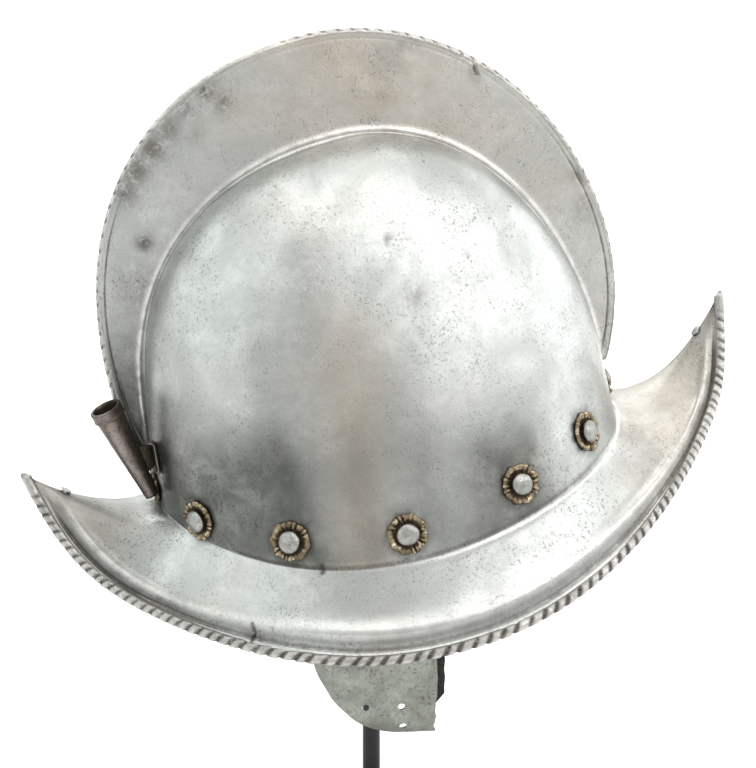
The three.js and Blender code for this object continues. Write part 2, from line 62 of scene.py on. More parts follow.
FOOT = dict(long_front=114.5, long_back=115, half=98, square=2.15, side=35,
            end_front=20.5, end_back=10, sweep_front=1.4, sweep_back=2.4)
ROOT = dict(long_front=115.5, long_back=112, top=147, half=7,
            start_front=20.5, start_back=31, bend_front=1.95, bend_back=2.05)
COMB = dict(x=3.2, z=54.8, reach=128.8, rise=143, fall=131, half=1.9, taper=0.3,
            dip_front=25, dip_back=15.5, bend_front=1.95, bend_back=2.25)
BRIM = dict(long_front=183, long_back=175, half=120, pointed=2.15, low=75, climb=58,
            bend_front=2, bend_back=2.3, tip_front=35, tip_back=40, near_front=30, near_back=20)
DISH = dict(side=3, deep_front=13, deep_back=6, near_front=6, near_back=3)


def power(base, exponent):
    return np.sign(base) * np.abs(base) ** exponent


def mix(a, b, t):
    return a + (b - a) * t


def points(x, y, z):
    return np.stack(np.broadcast_arrays(x, y, z), -1).astype(float)


def by_end(ahead, form, name):
    """A size of a form that differs before and behind the middle."""
    return np.where(ahead, form[name + "_front"], form[name + "_back"])


def foot(a):
    c, s = np.cos(a), np.maximum(0, np.sin(a))
    along = power(c, 2 / FOOT["square"])
    sweep = np.abs(along) ** by_end(c > 0, FOOT, "sweep")
    return points(
        by_end(c > 0, FOOT, "long") * along,
        -FOOT["half"] * s ** (2 / FOOT["square"]),
        mix(-FOOT["side"], -by_end(c > 0, FOOT, "end"), sweep),
    )


def root(a):
    c, s = np.cos(a), np.maximum(0, np.sin(a))
    bend = 2 / by_end(c > 0, ROOT, "bend")
    rise = mix(by_end(c > 0, ROOT, "start"), ROOT["top"] + FOOT["side"], s**bend)
    ahead = by_end(c > 0, ROOT, "long") * power(c, bend)
    return points(ahead, -ROOT["half"] * np.sqrt(s), foot(a)[..., 2] + rise)


def comb_edge(a):
    s = np.maximum(0, np.sin(a))
    turn = np.radians(mix(-COMB["dip_front"], 180 + COMB["dip_back"], a / math.pi))
    along, up = np.cos(turn), np.sin(turn)
    bend = 2 / by_end(along > 0, COMB, "bend")
    ahead = COMB["x"] + COMB["reach"] * power(along, bend)
    height = np.where(up > 0, COMB["rise"] * np.abs(up) ** bend, COMB["fall"] * up)
    return points(ahead, -COMB["half"] * s ** COMB["taper"], COMB["z"] + height)


def brim_edge(a):
    c = np.cos(a)
    along = np.abs(c)
    climb = BRIM["climb"] * along ** by_end(c > 0, BRIM, "bend")
    tip = by_end(c > 0, BRIM, "tip") * along ** by_end(c > 0, BRIM, "near")
    return points(
        by_end(c > 0, BRIM, "long") * c,
        -BRIM["half"] * (1 - along ** BRIM["pointed"]),
        climb + tip - BRIM["low"],
    )


def wall(a, share):
    low, high = foot(a), root(a)
    up = np.sin(share * math.pi / 2)
    across = np.cos(share * math.pi / 2) - 0.45 * up * (1 - up)
    return points(
        mix(high[..., 0], low[..., 0], across),
        mix(high[..., 1], low[..., 1], across),
        mix(low[..., 2], high[..., 2], up),
    )


def brim(a, share):
    c = np.cos(a)
    deep = by_end(c > 0, DISH, "deep")
    dish = mix(DISH["side"], deep, np.abs(c) ** by_end(c > 0, DISH, "near"))
    share = np.asarray(share, float)
    p = mix(foot(a), brim_edge(a), share[..., None])
    p[..., 2] -= 4 * dish * share * (1 - share)
    return p


def comb(a, share):
    low, high = root(a), comb_edge(a)
    share = np.broadcast_to(np.asarray(share, float), np.shape(a))
    p = mix(low, high, share[..., None])
    p[..., 1] = mix(low[..., 1], high[..., 1], share)
    return p


def both_sides(form, a, share):
    """A form of the near side at any station angle, the far side mirrored."""
    turn = np.mod(a, TAU)
    far = turn > math.pi
    p = form(np.where(far, TAU - turn, turn), share)
    p[..., 1] = np.where(far, -p[..., 1], p[..., 1])
    return p


def world(p):
    """Millimetres in the helmet's frame to metres in the row frame."""
    c, s = math.cos(PITCH), math.sin(PITCH)
    x, y, z = p[..., 0], p[..., 1], p[..., 2]
    return points(DATUM_AHEAD + x * c - z * s, y, DATUM_UP + x * s + z * c) / 1000


def norm(v):
    return np.linalg.norm(v, axis=-1)


def unit(v):
    return v / np.maximum(np.linalg.norm(v, axis=-1, keepdims=True), 1e-9)


def bell(x, middle, width):
    return np.exp(-(((x - middle) / width) ** 2))


def smooth(x, low, high):
    t = np.clip((x - low) / (high - low), 0, 1)
    return t * t * (3 - 2 * t)


def waves(p, size, seed, count=14):
    """Soft seeded noise from -1 to 1 over points in millimetres, with features of a size."""
    rng = np.random.default_rng(seed)
    total = np.zeros(p.shape[:-1])
    for _ in range(count):
        way = unit(rng.normal(size=3)) * (TAU / (size * rng.uniform(0.7, 1.8)))
        total += np.sin(p @ way + rng.uniform(0, TAU))
    return total / math.sqrt(count)


# ---- mesh making
MERGE = 2e-6


def cleaned(mesh, merge):
    """Merges a mesh's doubles, drops its slivers, and turns its faces outward and smooth."""
    work = bmesh.new()
    work.from_mesh(mesh)
    bmesh.ops.remove_doubles(work, verts=work.verts, dist=merge)
    bmesh.ops.dissolve_degenerate(work, dist=1e-7, edges=work.edges)
    bmesh.ops.recalc_face_normals(work, faces=work.faces)
    for face in work.faces:
        face.smooth = True
    work.to_mesh(mesh)
    work.free()


def mesh_of(name, verts, faces):
    mesh = bpy.data.meshes.new(name)
    mesh.from_pydata([tuple(v) for v in np.asarray(verts).tolist()], [], faces)
    return mesh


def linked(name, data):
    """A new object in the scene."""
    made = bpy.data.objects.new(name, data)
    bpy.context.scene.collection.objects.link(made)
    return made


def mesh_piece(name, verts, faces, look, replaced, marks=None):
    """A piece from points in metres. Its look is a material and the slot it stands for; the slot
    is not used.
    """
    material, slot = look
    mesh = mesh_of(name, verts, faces)
    for mark, values in (marks or {}).items():
        layer = mesh.attributes.new(mark, "FLOAT", "POINT")
        layer.data.foreach_set("value", np.asarray(values, np.float32))
    cleaned(mesh, MERGE)
    mesh.materials.append(material)
    piece = linked(name, mesh)
    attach(piece, "root")
    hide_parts(replaced)
    return piece


def grid_faces(rows, columns, closed_columns=False, closed_rows=False):
    faces = []
    for r in range(rows if closed_rows else rows - 1):
        here, below = r * columns, (r + 1) % rows * columns
        for c in range(columns if closed_columns else columns - 1):
            c2 = (c + 1) % columns
            faces.append((here + c, here + c2, below + c2, below + c))
    return faces


def slab(outer, inner):
    """Closed slab between two grids of points."""
    rows, columns = outer.shape[:2]
    count = rows * columns
    made = grid_faces(rows, columns)
    made += [tuple(v + count for v in face) for face in made]
    rim = list(range(columns)) + [r * columns + columns - 1 for r in range(1, rows)]
    rim += [count - columns + c for c in range(columns - 2, -1, -1)]
    rim += [r * columns for r in range(rows - 2, 0, -1)]
    made += [(i, j, j + count, i + count) for i, j in zip(rim, rim[1:] + rim[:1])]
    return np.concatenate([outer.reshape(-1, 3), inner.reshape(-1, 3)]), made


# ---- the steel sheet
STATIONS = 420
# Turns in degrees, from, to and step, at the brim's split and the comb's crack
CLOSE_STATIONS = ((123.0, 128.5, 0.2), (60.0, 65.0, 0.25))
STATION_GAP = 0.002

# Rows of the outer face: millimetres from the comb's or the brim's edge, or shares of a form
COMB_MM = [1.0, 2.0, 3.0, 3.7, 4.2, 4.6, 5.0, 5.5, 6.3, 7.5]
COMB_SHARES = [*np.linspace(0.95, 0.14, 16), 0.105, 0.08, 0.06, 0.043, 0.03, 0.019, 0.01, 0]
WALL_SHARES = [0.996, 0.99, 0.982, 0.973, 0.963, 0.95, *np.linspace(0.93, 0.06, 40),
               0.045, 0.033, 0.024, 0.017, 0.011, 0.0055, 0]
BRIM_SHARES = [0.015, 0.03, 0.05, 0.08, 0.12, 0.18, 0.27, 0.38, 0.5, 0.62, 0.75, 0.88]
BRIM_MM = [30, 27, 24, 21.5, 19.5, 17.5, 16, 14.5, 13.2, 12, 10.8, 9.6, 8.6, 7.7, 7.0, 6.4,
           5.9, 5.4, 4.9, 4.2, 3.2, 2.2]
LEAST_COMB_MM = 9


def station_angles():
    """Stations round the helmet, closer together near the two points and at the cracks."""
    half = np.linspace(0, 1, STATIONS // 2 + 1)
    half = math.pi * (half - 0.5 * np.sin(TAU * half) / TAU)
    for low, high, step in CLOSE_STATIONS:
        close = np.radians(np.arange(low, high, step))
        before, after = half < close[0] - STATION_GAP, half > close[-1] + STATION_GAP
        half = np.concatenate([half[before], close, half[after]])
    return np.concatenate([half, TAU - half[-2:0:-1]])


def outer_rows(a):
    """Rows of the outer face, comb's edge to brim's: form, share of each station, kind."""
    depth, width = (
        norm(both_sides(form, a, 1.0) - both_sides(form, a, 0.0))
        for form in (comb, brim)
    )
    depth = np.maximum(depth, LEAST_COMB_MM)
    top, inner_end = 1 - COMB_MM[-1] / depth, 1 - BRIM_MM[0] / width
    rows = [(comb, 1 - d / depth, "comb") for d in COMB_MM]
    rows += [(comb, top * k, "comb") for k in COMB_SHARES]
    rows += [(wall, share + 0 * a, "wall") for share in WALL_SHARES]
    rows += [(brim, inner_end * k, "brim") for k in BRIM_SHARES]
    return rows + [(brim, 1 - d / width, "brim") for d in BRIM_MM]


def normals_of(grid):
    along = np.roll(grid, -1, 1) - np.roll(grid, 1, 1)
    down = np.gradient(grid, axis=0)
    return unit(np.cross(along, down))


def soften(grid, middle, reach, rounds):
    """Rounds the crease at one row of a grid over a few rows on each side."""
    low, high = middle - reach, middle + reach + 1
    for _ in range(rounds):
        mean = (grid[low - 1:high - 1] + grid[low + 1:high + 1]) / 2
        grid[low:high] = (grid[low:high] + mean) / 2


# Dents and bruises: place in the helmet's frame, depth and width in millimetres
DENTS = [
    (53.6, -82.3, -3.0, 1.3, 6), (47.9, -82.9, 3.5, 0.7, 4.5), (60, -79, -1, 0.5, 4),
    (17, -67.1, 80.9, 0.55, 5), (48.3, -2.4, 180.9, 0.4, 2), (54.4, -2.3, 179.6, 0.35, 1.6),
    (52, -2.6, 176, 0.3, 2), (123.2, -1.9, 95.2, 0.7, 2.4), (121.5, -2, 99, 0.4, 1.8),
    (106, -29, 20, 0.5, 9), (-55, -2.6, 172, 0.35, 5), (-93.3, -3.7, 120.2, 0.4, 4),
    (-60, -75, 20, 0.5, 14), (20, -86, -5, 0.4, 12), (-46, 82, 12, 0.7, 8),
    (62, 74, 18, 0.5, 9), (10, 70, 76, 0.5, 7), (-88, 44, 30, 0.5, 10),
]
# Cracks: their path, width and depth
CRACKS = [
    ([(-92.6, -80.2, -49.9), (-93.0, -82.6, -54.0), (-95.6, -83.6, -56.0),
      (-97.0, -87.0, -58.0), (-101.5, -86.0, -58.5), (-103.0, -88.5, -60.0)], 0.55, 1.5),
    ([(76.5, -1.9, 169.5), (80.8, -2.0, 164.6), (79.9, -2.2, 161.5), (81.0, -2.3, 158.0)],
     0.5, 0.9),
    ([(-56.0, -87.0, -27.7), (-56.9, -88.0, -32.3), (-57.0, -90.0, -36.0)], 0.35, 0.4),
]
# Patches of tarnish: place in the helmet's frame, width in millimetres, and strength
STAINS = [
    (-47.8, -2.3, 183.6, 6, 0.9), (-42, -2.5, 176, 5, 0.8), (-60.4, -2.3, 176.9, 6, 0.7),
    (-69.2, -2.4, 170.3, 7, 0.8), (-79.7, -2.3, 163.2, 8, 0.9), (-88.9, -2.2, 154.8, 8, 0.9),
    (-96, -2.2, 146, 7, 0.8), (-93.3, -3.7, 120.2, 4.5, 1.0), (-58, -3, 165, 5, 0.5),
    (-100, -3, 100, 16, 0.35), (-104, -4, 60, 14, 0.35), (123, -2, 96, 5, 0.8),
    (121, -2.5, 80, 9, 0.45), (17, -67.1, 80.9, 4, 0.5), (48.3, -2.4, 180.9, 4, 0.5),
    (54.4, -2.3, 179.6, 3, 0.5), (80.5, -2.3, 160, 4, 0.55), (53.6, -82.3, -3, 5, 0.45),
    (-93, -82, -54, 4, 0.5), (12, -56.4, 107.7, 1.4, 1.0), (16.7, -67.2, 80.9, 8, 0.3),
    (32.4, -4.6, 160.1, 5, 0.35), (179, 0, 14, 6, 0.9), (-172, 0, 21, 5, 0.5),
    (-30, 60, 90, 14, 0.4), (70, 60, 30, 12, 0.4), (-80, 3, 165, 12, 0.7),
    (40, 3, 175, 10, 0.5),
]

a = station_angles()
ROWS = outer_rows(a)
grid = np.stack([both_sides(form, a, share) for form, share, _ in ROWS])
kinds = [kind for _, _, kind in ROWS]
root_row = kinds.index("wall") - 1
foot_row = kinds.index("brim") - 1
soften(grid, root_row, 3, 3)
soften(grid, foot_row, 2, 2)


def wall_seat(degrees, height):
    """Point and outward axis on the skull's wall, at a turn from the front and a height."""
    turn = math.radians(degrees)
    low = float(both_sides(lambda t, s: foot(t), np.array([turn]), 0)[0, 2])
    high = float(both_sides(lambda t, s: root(t), np.array([turn]), 0)[0, 2])
    place = 2 / math.pi * math.asin((height - low) / (high - low))
    step = 0.03
    at = lambda t, s: both_sides(wall, np.array([t]), np.array([s]))[0]
    along = at(turn + step, place) - at(turn - step, place)
    up = at(turn, min(1, place + step)) - at(turn, max(0, place - step))
    return at(turn, place), unit(np.cross(up, along))


# Lining rivets: name, turn from the back on one side, height above the datum
RIVETS = [("back", 0, 0.5), ("1", 27.5, -6), ("2", 56, -15), ("3", 83.6, -21.3),
          ("4", 110.7, -15.2), ("5", 136.8, -8.5), ("front", 180, -10.5)]
seats = {}
for label, turn, height in RIVETS:
    if turn % 180:
        seats["right_" + label] = wall_seat(180 - turn, height)
        seats["left_" + label] = wall_seat(180 + turn, height)
    else:
        seats[label] = wall_seat(180 - turn, height)

# ---- relief of the sheet
steps_down = norm(np.diff(grid, axis=0))
arc = np.concatenate([np.zeros((1, len(a))), np.cumsum(steps_down, 0)])
below_root = arc - arc[root_row]
below_foot = arc - arc[foot_row]
from_comb = arc + COMB_MM[0]
from_brim = arc[-1] - arc + BRIM_MM[-1]
is_brim = np.array([kind == "brim" for kind in kinds])[:, None]
is_comb = np.array([kind == "comb" for kind in kinds])[:, None]
ahead = np.cos(a)[None, :]
side = np.abs(np.sin(a))[None, :]
normal = normals_of(grid)

tips = [brim_edge(np.array([turn]))[0] for turn in (0.0, math.pi)]
from_tip = np.minimum(*(norm(grid - tip) for tip in tips))
broad = 1 - ahead**2
ridge = bell(from_brim, 13.8 + 2.4 * broad, 3.7) * is_brim * smooth(from_tip, 16, 48)
crease = bell(from_brim, 6.1 + 1.9 * broad, 1.25) * is_brim * smooth(from_tip, 12, 34)
foot_rib = bell(below_foot, 1.9, 0.9) * smooth(ahead, -0.35, 0.35)
foot_line = bell(below_foot, -0.6, 1.0) * smooth(side, 0.45, 0.8)
root_rib = bell(below_root, -1.9, 1.3)
root_line = bell(below_root, 2.0, 0.8)
lower_comb = 1 - 0.85 * smooth(side, 0.55, 0.8)
incised = bell(from_comb, 4.6, 0.42) * is_comb * np.clip(lower_comb, 0, 1)

RELIEF_MM = [(2.1, ridge), (-1.25, crease), (0.5, foot_rib), (-0.5, foot_line),
             (0.55, root_rib), (-0.45, root_line), (-0.55, incised)]
lift = sum(height * form for height, form in RELIEF_MM)

near_rivet = np.zeros(grid.shape[:2])
ring = np.zeros(grid.shape[:2])
for point, _ in seats.values():
    gap = norm(grid - point)
    near_rivet = np.maximum(near_rivet, 1 - smooth(gap, 8, 20))
    ring = np.maximum(ring, bell(gap, 9.8, 2.0 + 0.9 * waves(grid, 7, 13)))
calm = (1 - near_rivet) * (1 - 0.7 * is_comb)
lift += calm * (0.42 * waves(grid, 62, 3) + 0.13 * waves(grid, 24, 5) + 0.035 * waves(grid, 9, 7))

for x, y, z, depth, width in DENTS:
    uneven = width * (1 + 0.25 * waves(grid, 14, 11)[..., None])
    gap = norm((grid - (x, y, z)) / uneven)
    lift -= depth * np.exp(-(gap**2))


def crack_mark(path, width):
    """Nearness, 1 to 0, to a jagged line through points in the helmet's frame."""
    best = np.full(grid.shape[:2], 1e3)
    for p, q in zip(path, path[1:]):
        p, q = np.array(p, float), np.array(q, float)
        along = np.clip(((grid - p) @ (q - p)) / ((q - p) @ (q - p)), 0, 1)
        best = np.minimum(best, norm(grid - p - along[..., None] * (q - p)))
    return best, np.exp(-((best / width) ** 2))


crack = np.zeros(grid.shape[:2])
for path, width, depth in CRACKS:
    gap, mark = crack_mark(path, width)
    lift += 0.35 * depth * bell(gap, 3 * width, 1.6 * width) - depth * mark
    crack = np.maximum(crack, mark)

outer = grid + normal * lift[..., None]
stain = np.zeros(grid.shape[:2])
for x, y, z, width, strength in STAINS:
    gap = norm(grid - (x, y, z))
    stain = np.maximum(stain, strength * np.exp(-((gap / width) ** 2)))
stain = np.maximum(stain, 0.85 * bell(from_tip, 0, 5.5))
GRIME = [(0.7, crease), (0.6, foot_line), (0.4, root_line), (0.9, incised),
         (0.6, ring), (1.2, crack)]
grime_and_shade = np.clip(sum(share * form for share, form in GRIME), 0, 1)
wear_and_sheen = np.clip(0.9 * root_rib + 0.9 * foot_rib + 0.4 * ridge, 0, 1)

# Where the steel is browner, partly its own tone and partly a painted warm reflection, and where
# it is darker with painted shade: places follow the photograph
helmet_x, helmet_z = grid[..., 0], grid[..., 2]
on_wall = 1 - np.maximum(is_comb, is_brim)
brown_and_reflection = 0.85 * is_comb * smooth(helmet_x, -70, 20) * (1 - 0.6 * smooth(helmet_x, 40, 90))
brown_and_reflection += 0.9 * is_brim * smooth(helmet_x, 70, 130)
brown_and_reflection += 0.55 * is_brim * smooth(-helmet_x, 120, 165)
# Painted warm reflection: an upright band on the lower wall, a little behind the middle
painted_reflection_band = bell(helmet_x - 0.2 * helmet_z, -33, 17)
brown_and_reflection += 1.0 * on_wall * painted_reflection_band * (1 - smooth(helmet_z, 60, 115))
brown_and_reflection = np.clip(brown_and_reflection + 0.15 * waves(grid, 45, 19), 0, 1)
# Painted shade: darker on the lower wall, most towards the rear and low at the front, at the
# brim's two ends, along a band where the brim turns down near its edge, over the lower rear of the
# comb, and on the wall just below the root towards the front
low_wall = on_wall * (1 - smooth(helmet_z, 8, 64))
rear = 1.1 * smooth(-helmet_x, 38, 64) + 0.4 * bell(helmet_x, -36, 14)
front = 1.0 * bell(helmet_x, 38, 24) * (1 - smooth(helmet_z, -6, 36))
painted_shade = low_wall * (rear + 0.5 * bell(helmet_x, -2, 20) + front)
painted_shade += 0.6 * is_brim * smooth(-helmet_x, 105, 150)
painted_shade += 0.4 * is_brim * smooth(helmet_x, 125, 165)
band = bell(from_brim, 9.3 + 2.1 * broad, 2.6) * smooth(from_tip, 20, 55)
painted_shade += 0.62 * is_brim * band
rear_comb = smooth(-helmet_x, 60, 110) * (1 - smooth(helmet_z, 45, 115))
painted_shade += 0.95 * is_comb * rear_comb
by_root = (1 - smooth(below_root, 6, 34)) * smooth(helmet_x, 5, 50)
painted_shade += 0.24 * on_wall * by_root
painted_shade = np.clip(painted_shade + 0.1 * on_wall * waves(grid, 30, 23), 0, 1)

# ---- inner face and the closed sheet
COMB_INSIDE, EDGE_INSIDE = 0.82, 0.5
inner = [grid[r] - normal[r] * SHEET for r in range(len(ROWS) - 1, root_row, -3)]
low_root = grid[root_row + 2] - normal[root_row + 2] * SHEET
reach = both_sides(comb, a, 1.0) - both_sides(comb, a, 0.0)
within = np.maximum(np.abs(grid[root_row, :, 1]) - SHEET, 0.1)
low_root[:, 1] = np.minimum(np.abs(low_root[:, 1]), within) * np.sign(low_root[:, 1])
lean = np.sign(np.sin(a)) * -np.minimum(1, side[0] ** 0.3)
for share in (0.0, 0.3, 0.6, 0.85, 1.0):
    row = low_root + reach * (COMB_INSIDE * side[0] ** 0.25 * share)[:, None]
    row[:, 1] = mix(low_root[:, 1], EDGE_INSIDE * lean, share)
    inner.append(row)
inner = np.stack(inner)
sheet_points = np.concatenate([outer, inner])
total_rows, around = sheet_points.shape[:2]
faces = grid_faces(total_rows, around, closed_columns=True)
last = (total_rows - 1) * around
for i in range(around // 2):
    j, back_i, back_j = i + 1, -i % around, -(i + 1) % around
    faces.append((i, j, back_j, back_i))
    faces.append((last + i, last + back_i, last + back_j, last + j))


def with_inner(values, inside):
    return np.concatenate([values, np.full(inner.shape[:2], inside)]).ravel()


# ---- materials
class Finish:
    """A node-based material: short calls that add nodes and hand back their outputs."""

    def __init__(self, name):
        self.material = bpy.data.materials.new(name)
        self.material.use_nodes = True
        self.tree = self.material.node_tree
        self.shader = self.tree.nodes["Principled BSDF"]
        self.place = self.tree.nodes.new("ShaderNodeTexCoord").outputs["Object"]

    def put(self, socket, value):
        if isinstance(value, bpy.types.NodeSocket):
            self.tree.links.new(value, socket)
        else:
            socket.default_value = value

    def node(self, kind, output, inputs, **settings):
        made = self.tree.nodes.new(kind)
        for key, value in settings.items():
            setattr(made, key, value)
        for key, value in inputs.items():
            self.put(made.inputs[key], value)
        return made.outputs[output]

    def stretched(self, scale):
        return self.node("ShaderNodeMapping", 0, {"Vector": self.place, "Scale": scale})

    def noise(self, size_mm, detail=4.0, rough=0.55, place=None, warp=0.0):
        inputs = {"Vector": place or self.place, "Scale": 1000 / size_mm,
                  "Detail": detail, "Roughness": rough, "Distortion": warp}
        return self.node("ShaderNodeTexNoise", "Fac", inputs)

    def cells(self, size_mm):
        inputs = {"Vector": self.place, "Scale": 1000 / size_mm}
        return self.node("ShaderNodeTexVoronoi", "Distance", inputs)

    def span(self, value, low, high, to_low=0.0, to_high=1.0):
        inputs = {"Value": value, "From Min": low, "From Max": high,
                  "To Min": to_low, "To Max": to_high}
        return self.node("ShaderNodeMapRange", "Result", inputs, interpolation_type="SMOOTHSTEP")

    def maths(self, operation, a, b):
        return self.node("ShaderNodeMath", 0, {0: a, 1: b}, operation=operation)

    def times(self, a, b):
        return self.maths("MULTIPLY", a, b)

    def plus(self, a, b):
        return self.maths("ADD", a, b)

    def blend(self, factor, a, b, mode="MIX"):
        a, b = (c if isinstance(c, bpy.types.NodeSocket) else (*c, 1) for c in (a, b))
        inputs = {0: factor, 6: a, 7: b}
        return self.node("ShaderNodeMix", 2, inputs, data_type="RGBA", blend_type=mode)

    def mark(self, name):
        return self.node("ShaderNodeAttribute", "Fac", {}, attribute_name=name)

    def bump(self, height, strength, depth_mm):
        inputs = {"Height": height, "Strength": strength, "Distance": depth_mm / 1000}
        return self.node("ShaderNodeBump", 0, inputs)

    def finish(self, colour, rough, metal=0.0, height=None, strength=0.5, depth_mm=0.3, **others):
        self.put(self.shader.inputs["Base Color"], colour)
        self.put(self.shader.inputs["Roughness"], rough)
        self.put(self.shader.inputs["Metallic"], metal)
        if height is not None:
            self.put(self.shader.inputs["Normal"], self.bump(height, strength, depth_mm))
        for key, value in others.items():
            self.put(self.shader.inputs[key.replace("_", " ")], value)
        return self.material


# Colours of the marks: the shade tint paints shade, the brown tint is a brown tone and a painted
# warm reflection, the worn colour is wear and a painted sheen, and the grime colour is grime and
# painted shade
BROWN_AND_REFLECTION_TINT, PAINTED_SHADE_TINT = (0.93, 0.835, 0.755), (0.25, 0.25, 0.238)
STAIN_COLOUR, WEAR_AND_SHEEN_COLOUR = (0.10, 0.088, 0.074), (0.84, 0.83, 0.81)
GRIME_AND_SHADE_COLOUR = (0.045, 0.037, 0.03)


def steel(name, bright, dull, dark,
          pit_size=1.15, marked=True, rough=0.39, pits=0.38, cloud_size=38):
    """Old steel: bright and dull clouds, dark pits and flecks, and the marks of its mesh: tarnish,
    grime, wear, a brown tone, and painted shade, painted warm reflection and painted sheen.
    """
    f = Finish(name)
    cloud = f.noise(cloud_size, 6, 0.62, warp=0.7)
    fine = f.noise(cloud_size / 6, 6, 0.66, warp=0.3)
    grain = f.noise(1.3, 4, 0.65, place=f.stretched((1, 1, 0.5)))
    dense = f.times(f.span(f.noise(cloud_size * 0.8, 4, 0.55, warp=1.0), 0.4, 0.62), 0.7)
    pit = f.times(f.span(f.noise(pit_size, 2, 0.5), 0.56, 0.67), f.plus(dense, 0.32))
    streak = f.noise(pit_size * 1.6, 3, 0.6, place=f.stretched((1, 1, 0.65)))
    streak = f.times(f.span(streak, 0.59, 0.69), f.plus(dense, 0.22))
    speck = f.span(f.noise(pit_size * 3.4, 5, 0.72, warp=0.8), 0.61, 0.71)
    speck = f.times(speck, f.plus(dense, 0.3))
    scratch = f.span(f.noise(0.9, 2, 0.5, place=f.stretched((1, 1, 0.06))), 0.66, 0.74)
    scratch = f.times(scratch, f.span(fine, 0.45, 0.6))
    colour = f.blend(f.span(cloud, 0.34, 0.66), dull, bright)
    colour = f.blend(f.times(f.span(fine, 0.42, 0.64), 0.5), colour, dull)
    colour = f.blend(f.times(f.span(grain, 0.35, 0.7), 0.4), colour, dull)
    for mark, share in ((pit, pits), (streak, pits * 0.9), (speck, pits * 0.9), (scratch, 0.3)):
        colour = f.blend(f.times(mark, share), colour, dark)
    roughness = f.span(cloud, 0.25, 0.75, rough + 0.08, rough - 0.05)
    roughness = f.plus(roughness, f.times(f.plus(pit, streak), 0.2))
    if marked:
        stain = f.times(f.mark("stain"), f.span(f.noise(4.2, 6, 0.7, warp=0.9), 0.3, 0.52))
        grime_and_shade = f.times(f.mark("grime_and_shade"), f.span(f.noise(5, 5, 0.6), 0.25, 0.55, 0.45, 1.0))
        wear_and_sheen = f.times(f.mark("wear_and_sheen"), f.span(f.noise(7, 4, 0.6), 0.35, 0.6, 0.35, 0.9))
        brown_and_reflection = f.span(f.noise(30, 5, 0.6, warp=0.5), 0.25, 0.6, 0.5, 1.0)
        painted_shade = f.span(f.noise(22, 5, 0.6, warp=0.5), 0.25, 0.6, 0.7, 1.0)
        # Browning that is partly a painted warm reflection, painted shade, tarnish, lightening
        # that is partly a painted sheen, and darkening that is partly painted shade
        colour = f.blend(f.times(f.mark("brown_and_reflection"), brown_and_reflection), colour, BROWN_AND_REFLECTION_TINT, "MULTIPLY")
        colour = f.blend(f.times(f.mark("painted_shade"), painted_shade), colour, PAINTED_SHADE_TINT, "MULTIPLY")
        colour = f.blend(f.times(stain, 0.92), colour, STAIN_COLOUR)
        colour = f.blend(wear_and_sheen, colour, WEAR_AND_SHEEN_COLOUR)
        colour = f.blend(f.times(grime_and_shade, 0.88), colour, GRIME_AND_SHADE_COLOUR)
        roughness = f.plus(roughness, f.plus(f.times(grime_and_shade, 0.28), f.times(stain, 0.22)))
    height = f.plus(f.times(grain, 0.22), f.times(fine, 0.7))
    height = f.plus(f.times(f.plus(pit, streak), -0.35), f.plus(f.times(speck, -0.35), height))
    return f.finish(colour, roughness, 1.0, height, 0.4, 0.28)


def old_brass():
    f = Finish("washer_brass_worn")
    cloud = f.noise(5, 5, 0.62, warp=0.8)
    grain = f.noise(1.0, 5, 0.66)
    low = f.mark("hollow")
    pale = f.times(f.span(f.noise(2.4, 4, 0.6), 0.54, 0.64), 0.65)
    deep = f.span(f.plus(low, f.times(cloud, 0.35)), 0.42, 0.95)
    colour = f.blend(f.span(cloud, 0.36, 0.64), (0.31, 0.252, 0.165), (0.15, 0.117, 0.077))
    colour = f.blend(f.times(f.span(grain, 0.48, 0.68), 0.7), colour, (0.12, 0.08, 0.045))
    colour = f.blend(pale, colour, (0.72, 0.66, 0.50))
    colour = f.blend(deep, colour, (0.055, 0.038, 0.026))
    rough = f.plus(f.span(grain, 0.3, 0.7, 0.24, 0.46), f.times(low, 0.25))
    return f.finish(colour, rough, 1.0, f.plus(cloud, f.times(grain, 0.6)), 0.5, 0.3)


def black_leather():
    f = Finish("black_leather_worn")
    crease = f.noise(6, 5, 0.65, place=f.stretched((0.6, 1, 2.2)), warp=1.2)
    scuff = f.times(f.span(f.noise(2, 4, 0.6), 0.55, 0.7), 0.4)
    colour = f.blend(f.span(crease, 0.4, 0.7), (0.012, 0.011, 0.010), (0.036, 0.031, 0.027))
    colour = f.blend(scuff, colour, (0.10, 0.085, 0.07))
    height = f.plus(f.cells(1.3), f.times(crease, 1.3))
    rough = f.span(crease, 0.35, 0.65, 0.5, 0.72)
    return f.finish(colour, rough, 0.0, height, 0.5, 0.3, Specular_IOR_Level=0.22)


def black_paint():
    f = Finish("stand_black_paint")
    cloud = f.noise(27, 4, 0.5)
    chip = f.times(f.span(f.noise(9, 6, 0.7, warp=0.5), 0.68, 0.74), 0.6)
    colour = f.blend(f.span(cloud, 0.35, 0.65), (0.011, 0.011, 0.012), (0.02, 0.02, 0.022))
    colour = f.blend(chip, colour, (0.07, 0.065, 0.06))
    rough = f.span(cloud, 0.3, 0.7, 0.3, 0.4)
    return f.finish(colour, rough, 0.0, f.noise(1.6, 2, 0.5), 0.12, 0.1, Specular_IOR_Level=0.28)


def black_wood():
    f = Finish("stand_rest_black_wood")
    grain = f.noise(3, 6, 0.65, place=f.stretched((0.25, 1, 1)), warp=1.5)
    colour = f.blend(f.span(grain, 0.35, 0.7), (0.012, 0.011, 0.011), (0.035, 0.03, 0.027))
    return f.finish(colour, f.span(grain, 0.3, 0.7, 0.42, 0.6), 0.0, grain, 0.35, 0.3)


def steel_look(slot, name, *colours, **settings):
    return steel(name, *colours, **settings), slot


